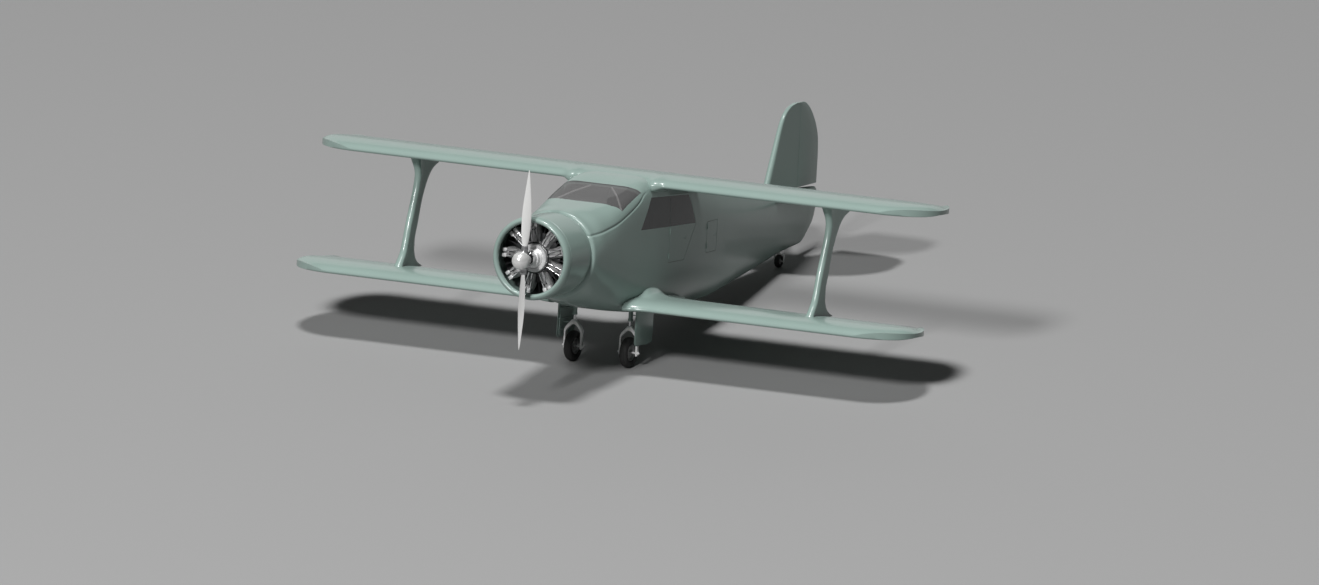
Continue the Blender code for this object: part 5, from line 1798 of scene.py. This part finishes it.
@dataclass
class MainGear(Wheelwork):
    """Both main legs with forks, doors and wheels."""

    out: float = 0.44
    leg: float = 0.032
    piston: float = 0.0205
    size: WheelSize = WheelSize(MAIN_RADIUS, 0.118, 0.062, 0.0132, 5, 8, 96)

    def build(self) -> None:
        """Make each side's leg, door and wheel."""
        for side, word in SIDES:
            x, (y, z) = side * self.out, AXLE
            leg = bmesh.new()
            tube(leg, (x, y, -0.93), (x, y, z + 0.452), self.leg, steps=32)
            tube(leg, (x, y, z + 0.48), (x, y, z + 0.45), 0.0365, steps=32)
            tube(leg, (x, y, z + 0.56), (x, y, z + 0.548), 0.035, steps=32)
            self.piece(f"leg_tube_{word}", leg, PAINT, "airframe", f"main_leg_{word}")
            piston = tube(bmesh.new(), (x, y, z + 0.49), (x, y, z + 0.318), self.piston, steps=28)
            self.piece(f"leg_piston_{word}", piston, CHROME, "airframe")
            self.fork(x, word)
            self.door(side, word)
            self.wheel(f"main_tyre_{word}", f"main_wheel_{word}", (x, y, z), self.size)

    def fork(self, x: float, word: str) -> None:
        """Make the flat-faced fork and its axle.

        Args:
            x: the wheel's place across the aircraft.
            word: the side's name.
        """
        y, z = AXLE
        half = ((0.03, 0.376), (0.044, 0.356), (0.118, 0.278), (0.143, 0.224), (0.143, -0.03),
                (0.136, -0.044), (0.124, -0.044), (0.116, -0.03), (0.116, 0.206),
                (0.094, 0.244), (0.04, 0.3), (0.016, 0.312))
        outline = [(x + a, z + b) for a, b in half] + [(x - a, z + b) for a, b in reversed(half)]
        bm = plate(outline, "y", y - 0.034, y + 0.034)
        round_edges(bm, [e for e in bm.edges if e.calc_face_angle(0.0) > 0.5], 0.0035)
        for way in BOTH:
            for start, end, radius, count in ((0.118, 0.154, 0.024, 28), (0.152, 0.163, 0.0175, 6),
                                              (0.064, 0.118, 0.016, 20)):
                tube(bm, (x + way * start, y, z), (x + way * end, y, z), radius, steps=count)
        tube(bm, (x - 0.172, y, z), (x + 0.172, y, z), 0.0105, steps=20)
        tube(bm, (x, y, z + 0.345), (x, y, z + 0.378), 0.03, 0.026, 28)
        self.piece(f"leg_fork_{word}", bm, GEAR, "airframe", smooth=28.0)

    def door(self, side: float, word: str) -> None:
        """Make the flat leg door with its stiffeners.

        Args:
            side: 1 for left, -1 for right.
            word: the side's name.
        """
        outline = ((2.55, -0.83), (3.15, -0.86), (3.15, -1.29), (3.14, -1.345),
                   (3.115, -1.385), (3.075, -1.412), (3.03, -1.425), (2.98, -1.428),
                   (2.64, -1.428), (2.6, -1.424), (2.57, -1.408), (2.552, -1.375))
        bm = plate(outline, "x", *sorted((side * 0.611, side * 0.616)))
        inner = side * 0.606
        for z in (-1.02, -1.17, -1.32):
            block(bm, (inner, 2.85, z), (0.012, 0.52, 0.022), 0.003)
        for y in (2.62, 3.08):
            block(bm, (inner, y, -1.15), (0.012, 0.022, 0.48), 0.003)
        block(bm, (side * 0.619, 2.85, -1.15), (0.006, 0.56, 0.52), 0.0028)
        for z in (-1.005, -1.215):
            tube(bm, (side * 0.607, 2.757, z), (side * 0.47, 2.757, z), 0.0075, steps=14)
        self.piece(f"leg_door_{word}_skin", bm, PAINT, "airframe", f"leg_door_{word}")


@dataclass
class TailGear(Wheelwork):
    """The tail wheel, its swivelling fork and the post."""

    swivel: float = 8.652
    axle_y: float = 8.681
    size: WheelSize = WheelSize(0.095, 0.046, 0.038, 0.0086, 3, 6, 64)

    def build(self) -> None:
        """Make the post, the fork and the wheel."""
        s, y = self.swivel, self.axle_y
        z = (self.size.radius - HUB_HEIGHT + y * sin(PITCH)) / cos(PITCH)
        post = tube(bmesh.new(), (0, s, -0.64), (0, s, -0.717), 0.03, steps=32)
        tube(post, (0, s, -0.7), (0, s, -0.7175), 0.034, steps=32)
        tube(post, (0, s, -0.71), (0, s, -0.7365), 0.01, steps=20)
        self.piece("tail_post_skin", post, GEAR, "airframe", "tail_wheel_post")
        fork = bmesh.new()
        block(fork, (0.0, s + 0.034, -0.7305), (0.088, 0.128, 0.016), 0.005)
        tube(fork, (0, s, -0.74), (0, s, -0.7205), 0.026, steps=28)
        for way in BOTH:
            rings = []
            for x, back, high, deep in ((0.03, s + 0.06, -0.7305, 0.014),
                                        (0.06, s + 0.052, -0.74, 0.015),
                                        (0.072, s + 0.042, -0.768, 0.014),
                                        (0.0725, y + 0.004, z + 0.02, 0.014),
                                        (0.0725, y, z - 0.018, 0.011)):
                ring = []
                for a in turns(20):
                    c, n = cos(a), sin(a)
                    r = (abs(c) ** 4 + abs(n) ** 4) ** (-1.0 / 4)
                    ring.append(Vector((way * x + 0.0068 * r * c, back + deep * r * n, high)))
                rings.append(ring)
            skin(fork, rings)
            tube(fork, (way * 0.064, y, z), (way * 0.08, y, z), 0.014, steps=24)
            tube(fork, (way * 0.079, y, z), (way * 0.086, y, z), 0.01, steps=6)
        tube(fork, (-0.084, y, z), (0.084, y, z), 0.0078, steps=18)
        self.piece("tail_fork_arms", fork, GEAR, "tail_fork", "tail_wheel_fork", smooth=40.0)
        self.wheel("tail_tyre", "tail_wheel", (0, y, z), self.size)


@dataclass
class Pad:
    """One cushion: its place, its size and how far it leans."""

    centre: Triple
    size: Triple
    lean: float
    channels: int


@dataclass
class Cabin(Assembly):
    """Floor, bulkhead, panel, controls and the padded seats."""

    floor: float = -0.53
    voxel: float = 0.01
    cap: float = 0.024
    frames: int = 20

    def build(self) -> None:
        """Make everything inside the cabin."""
        self.copied("cabin_floor_board", "cabin_floor", TRIM)
        self.copied("cabin_bulkhead_board", "cabin_bulkhead", LINING)
        self.panel()
        self.column()
        z, lean = self.floor, radians(-17.5)
        pads = (Pad((0.29, 2.69, z + 0.345), (0.44, 0.44, 0.11), 0.0, 4),
                Pad((0.29, 3.01, z + 0.645), (0.43, 0.095, 0.48), lean, 4),
                Pad((0.0, 3.77, z + 0.345), (1.08, 0.44, 0.11), 0.0, 8),
                Pad((0.0, 4.09, z + 0.645), (1.06, 0.095, 0.48), lean, 8))
        seat = self.cushion("front_seat_left_cushion", pads[0], "front_seat_left")
        back = self.cushion("front_seat_left_back", pads[1])
        self.twin(seat, "front_seat_right_cushion", "front_seat_right")
        self.twin(back, "front_seat_right_back")
        self.cushion("rear_bench_cushion", pads[2], "rear_bench")
        self.cushion("rear_bench_back", pads[3])
        self.frames_of_seats()

    def cushion(self, name: str, pad: Pad, *nodes: str) -> Thing:
        """Make one padded cushion: swelled by cloth pressure, capped, then sewn into channels.

        Args:
            name: the piece's name.
            pad: its place and size.
            nodes: the CAD nodes it stands for.

        Returns:
            The cushion.
        """
        place = Matrix.Translation(pad.centre) @ Matrix.Rotation(pad.lean, 4, "X")
        wide, deep, tall = pad.size
        bm = block(bmesh.new(), (0, 0, 0), (wide - 0.02, deep - 0.02, tall - 0.02), 0.022,
                   segments=3)
        made = from_bmesh(name, bm, 80.0)
        step = made.modifiers.new("remesh", "REMESH")
        step.mode = "VOXEL"
        step.voxel_size = self.voxel
        bake(made)
        start = [v.co.copy() for v in made.data.vertices]
        self.fill(made)
        for vert, rest in zip(made.data.vertices, start):
            way = vert.co - rest
            vert.co = rest + way * (min(1.0, self.cap / way.length) if way.length > 1e-9 else 0.0)
        self.sew(made, pad)
        bm = bmesh.new()
        bm.from_mesh(made.data)
        bmesh.ops.smooth_vert(bm, verts=bm.verts, factor=0.5, use_axis_x=True, use_axis_y=True,
                              use_axis_z=True)
        bm.transform(ATTITUDE @ place)
        for face in bm.faces:
            face.smooth = True
        bm.to_mesh(made.data)
        bm.free()
        return self.stuffed(made, *nodes)

    def stuffed(self, made: Thing, *nodes: str) -> Thing:
        """Finish a cushion: its finer step and its cloth.

        Args:
            made: the cushion.
            nodes: the CAD nodes it stands for.

        Returns:
            The cushion.
        """
        finer = made.modifiers.new("finer", "SUBSURF")
        finer.levels = finer.render_levels = 1
        self.settle(made, CLOTH, "airframe", *nodes)
        return made

    def fill(self, made: Thing) -> None:
        """Let cloth pressure swell a closed pad, and keep the shape it ends in.

        Args:
            made: the pad.
        """
        cloth = made.modifiers.new("fill", "CLOTH")
        cloth.settings.use_pressure = True
        cloth.settings.uniform_pressure_force = 4.0
        cloth.settings.effector_weights.gravity = 0.0
        scene = bpy.context.scene
        for number in range(1, self.frames + 1):
            scene.frame_set(number)
        bake(made)
        scene.frame_set(1)

    def sew(self, made: Thing, pad: Pad) -> None:
        """Press sewn channels into a cushion's wide faces.

        Args:
            made: the cushion, still about the origin.
            pad: its size.
        """
        wide, deep, tall = pad.size
        thin = 2 if tall < deep else 1
        long = 1 if thin == 2 else 2
        limit = 0.5 * pad.size[long] - 0.035
        for vert in made.data.vertices:
            where = (vert.co.x / wide + 0.5) * pad.channels
            off = abs(where - round(where)) * wide / pad.channels
            inner = 0 < round(where) < pad.channels and abs(vert.co[long]) < limit
            face = abs(vert.co[thin]) > 0.25 * pad.size[thin]
            if inner and face and off < 0.022:
                share = 0.5 + 0.5 * cos(pi * off / 0.022)
                vert.co[thin] -= copysign(0.011 * share, vert.co[thin])

    def twin(self, source: Thing, name: str, *nodes: str) -> None:
        """Make the same cushion on the other side.

        Args:
            source: the left one.
            name: the new piece's name.
            nodes: the CAD nodes it stands for.
        """
        bm = bmesh.new()
        bm.from_mesh(source.data)
        bmesh.ops.translate(bm, verts=bm.verts, vec=(-0.58, 0.0, 0.0))
        mesh = bpy.data.meshes.new(name)
        bm.to_mesh(mesh)
        bm.free()
        self.stuffed(placed(name, mesh), *nodes)

    def frames_of_seats(self) -> None:
        """Make the boxes and tubes that carry the cushions."""
        z = self.floor + 0.0005
        bm = bmesh.new()
        for x, wide, y in ((0.29, 0.4, 2.56), (-0.29, 0.4, 2.56), (0.0, 1.06, 3.64)):
            for side in BOTH:
                edge = x + side * (0.5 * wide - 0.02)
                path = smooth_path(((edge, y + 0.02, z + 0.01), (edge, y + 0.005, z + 0.25),
                                    (edge, y + 0.2, z + 0.275), (edge, y + 0.36, z + 0.285),
                                    (edge, y + 0.43, z + 0.42), (edge, y + 0.545, z + 0.86)), 6)
                hose(bm, path, 0.013, 12)
                tube(bm, (edge, y + 0.36, z), (edge, y + 0.36, z + 0.285), 0.013, steps=14)
                block(bm, (edge, y + 0.19, z + 0.012), (0.04, 0.42, 0.022), 0.005)
            for along, high in ((0.03, 0.262), (0.36, 0.285), (0.545, 0.855)):
                tube(bm, (x - 0.5 * wide + 0.02, y + along, z + high),
                     (x + 0.5 * wide - 0.02, y + along, z + high), 0.012, steps=14)
        self.piece("seat_frames", bm, TRIM, "airframe")

    def panel(self) -> None:
        """Make the instrument board, its hood, dials and needles."""
        self.copied("panel_board", "instrument_panel", TRIM, 0.002)
        rims, faces, marks = bmesh.new(), bmesh.new(), bmesh.new()
        y = 1.8805
        places = [(x, z, 0.04) for x in (-0.36, -0.26, -0.16, 0.16, 0.26, 0.36)
                  for z in (0.5, 0.4)]
        places += [(x, 0.31, 0.026) for x in (-0.3, -0.22, -0.08, 0.0, 0.08, 0.22, 0.3)]
        places += [(x, z, 0.03) for x in (-0.055, 0.055) for z in (0.505, 0.42)]
        for k, (x, z, r) in enumerate(places):
            turned(rims, ((y, r), (y + 0.008, r), (y + 0.011, r * 0.94), (y + 0.008, r * 0.86),
                          (y, r * 0.86)), 32, (x, 0.0, z))
            tube(faces, (x, y, z), (x, y + 0.004, z), r * 0.88, steps=32)
            ticks = [(a, 0.0045, 0.74, (r * 0.035, 0.001, r * 0.14))
                     for a in spaced(-2.3, 2.3, 10)]
            ticks.append((-1.9 + 0.61 * k % 3.8, 0.0052, 0.26, (r * 0.05, 0.0012, r * 0.62)))
            for a, lift, along, size in ticks:
                block(marks, Vector((x, y + lift, z)) + spoke(a) * (r * along), size, 0.0,
                      Matrix.Rotation(a, 4, "Y"))
        self.piece("dial_rims", rims, TRIM, "airframe")
        self.piece("dial_faces", faces, DIAL, "airframe")
        self.piece("dial_marks", marks, MARKING, "airframe")

    def column(self) -> None:
        """Make the control column, its arm and the wheel, and the foot pedals."""
        bm = bmesh.new()
        path = smooth_path(((0, 2.25, self.floor + 0.001), (0, 2.205, -0.33), (0, 2.12, 0.0),
                            (0, 2.082, 0.11), (0.03, 2.085, 0.132), (0.14, 2.11, 0.126),
                            (0.29, 2.135, 0.12)), 6)
        hose(bm, path, 0.018, 16)
        turned(bm, arc(0.0, 0.132, 0.0125, turns(12)), 56, (0.29, 2.18, 0.12))
        tube(bm, (0.29, 2.12, 0.12), (0.29, 2.196, 0.12), 0.02, steps=20)
        hub = Vector((0.29, 2.182, 0.12))
        for degrees in (90, -90, 180):
            tube(bm, hub, hub + spoke(radians(degrees)) * 0.128, 0.0085, steps=12)
        tube(bm, (0, 2.25, self.floor), (0, 2.246, self.floor + 0.03), 0.045, 0.026, 24)
        for x in (0.16, 0.36, -0.16, -0.36):
            tube(bm, (x, 1.98, self.floor), (x, 2.02, self.floor + 0.16), 0.009, steps=12)
            block(bm, (x, 2.022, self.floor + 0.165), (0.1, 0.016, 0.055), 0.005,
                  Matrix.Rotation(radians(-20), 4, "X"))
        self.piece("control_column_tube", bm, TRIM, "airframe", "control_column", smooth=45.0)


@dataclass
class Studio:
    """The floor, the lights and the camera."""

    azimuth: float = 25.47
    elevation: float = 14.9
    pixels_per_metre: float = 69.85
    hub_pixel: Pair = (525.4, 260.3)
    lens: float = 720.0
    sensor: float = 36.0
    depth_plane: float = 4.0
    floor_grey: float = 0.27

    def axes(self) -> tuple[Vector, Vector, Vector]:
        """Give the camera's directions.

        Returns:
            Right, up and back.
        """
        a, e = radians(self.azimuth), radians(self.elevation)
        back = Vector((sin(a) * cos(e), -cos(a) * cos(e), sin(e)))
        right = Vector((cos(a), sin(a), 0.0))
        return right, back.cross(right), back

    def build(self) -> None:
        """Set the camera, the lights and the floor."""
        bpy.context.scene.view_settings.view_transform = "Standard"
        self.camera()
        self.lights()
        self.floor()

    def camera(self) -> None:
        """Place the long lens at the photograph's angle."""
        right, up, back = self.axes()
        hub = ATTITUDE @ Vector((0.0, 0.0, 0.0))
        plane = ATTITUDE @ Vector((0.0, self.depth_plane, 0.0))
        target = hub + right * ((IMAGE[0] / 2 - self.hub_pixel[0]) / self.pixels_per_metre)
        target -= up * ((IMAGE[1] / 2 - self.hub_pixel[1]) / self.pixels_per_metre)
        target += back * (plane - target).dot(back)
        reach = self.lens / self.sensor * IMAGE[0] / self.pixels_per_metre
        data = bpy.data.cameras.new("camera")
        data.lens = self.lens
        data.sensor_width = self.sensor
        data.clip_start = reach * 0.5
        data.clip_end = reach * 1.5
        made = placed("camera", data)
        made.location = target + back * reach
        made.rotation_mode = "QUATERNION"
        made.rotation_quaternion = Matrix((right, up, back)).transposed().to_quaternion()
        bpy.context.scene.camera = made

    def lights(self) -> None:
        """Hang one broad light above, one ahead, and a low grey sky."""
        for name, way, wide, tall, power in (
                ("overhead", (0.01, -0.143, 1.0), 24.0, 24.0, 178000.0),
                ("front", (0.02, -1.38, 1.0), 22.0, 22.0, 180000.0),
                ("rear_card", (-0.42, 0.875, 0.3), 210.0, 90.0, 26000.0)):
            data = bpy.data.lights.new(name, "AREA")
            data.shape = "ELLIPSE"
            data.size = wide
            data.size_y = tall
            data.energy = power
            made = placed(name, data)
            made.visible_camera = False
            aim = Vector(way).normalized()
            made.location = Vector((0.0, 0.0, 1.0)) + aim * 150.0
            made.rotation_mode = "QUATERNION"
            made.rotation_quaternion = aim.to_track_quat("Z", "Y")
        world = bpy.data.worlds.new("studio_sky")
        world.use_nodes = True
        dial(world.node_tree.nodes["Background"], {"Color": (0.8, 0.8, 0.8, 1.0),
                                                   "Strength": 0.03})
        bpy.context.scene.world = world

    def floor(self) -> None:
        """Lay a plain pale floor."""
        bm = bmesh.new()
        bmesh.ops.create_grid(bm, x_segments=1, y_segments=1, size=60.0)
        made = from_bmesh("floor", bm)
        look = bpy.data.materials.new("floor_paint")
        look.use_nodes = True
        dial(look.node_tree.nodes["Principled BSDF"],
             {"Base Color": (*(self.floor_grey,) * 3, 1.0), "Roughness": 0.85})
        made.data.materials.append(look)


def main() -> None:
    """Build every sub-assembly in turn and report each piece."""
    logging.basicConfig(level=logging.INFO, format="%(message)s")
    shop = Shop()
    for kind in (Cabin, Fuselage, Doors, Glazing, Wings, Empennage, Cowling, RadialEngine,
                 PropellerUnit, MainGear, TailGear):
        kind(shop).build()
    Studio().build()


if __name__ == "__main__":
    main()
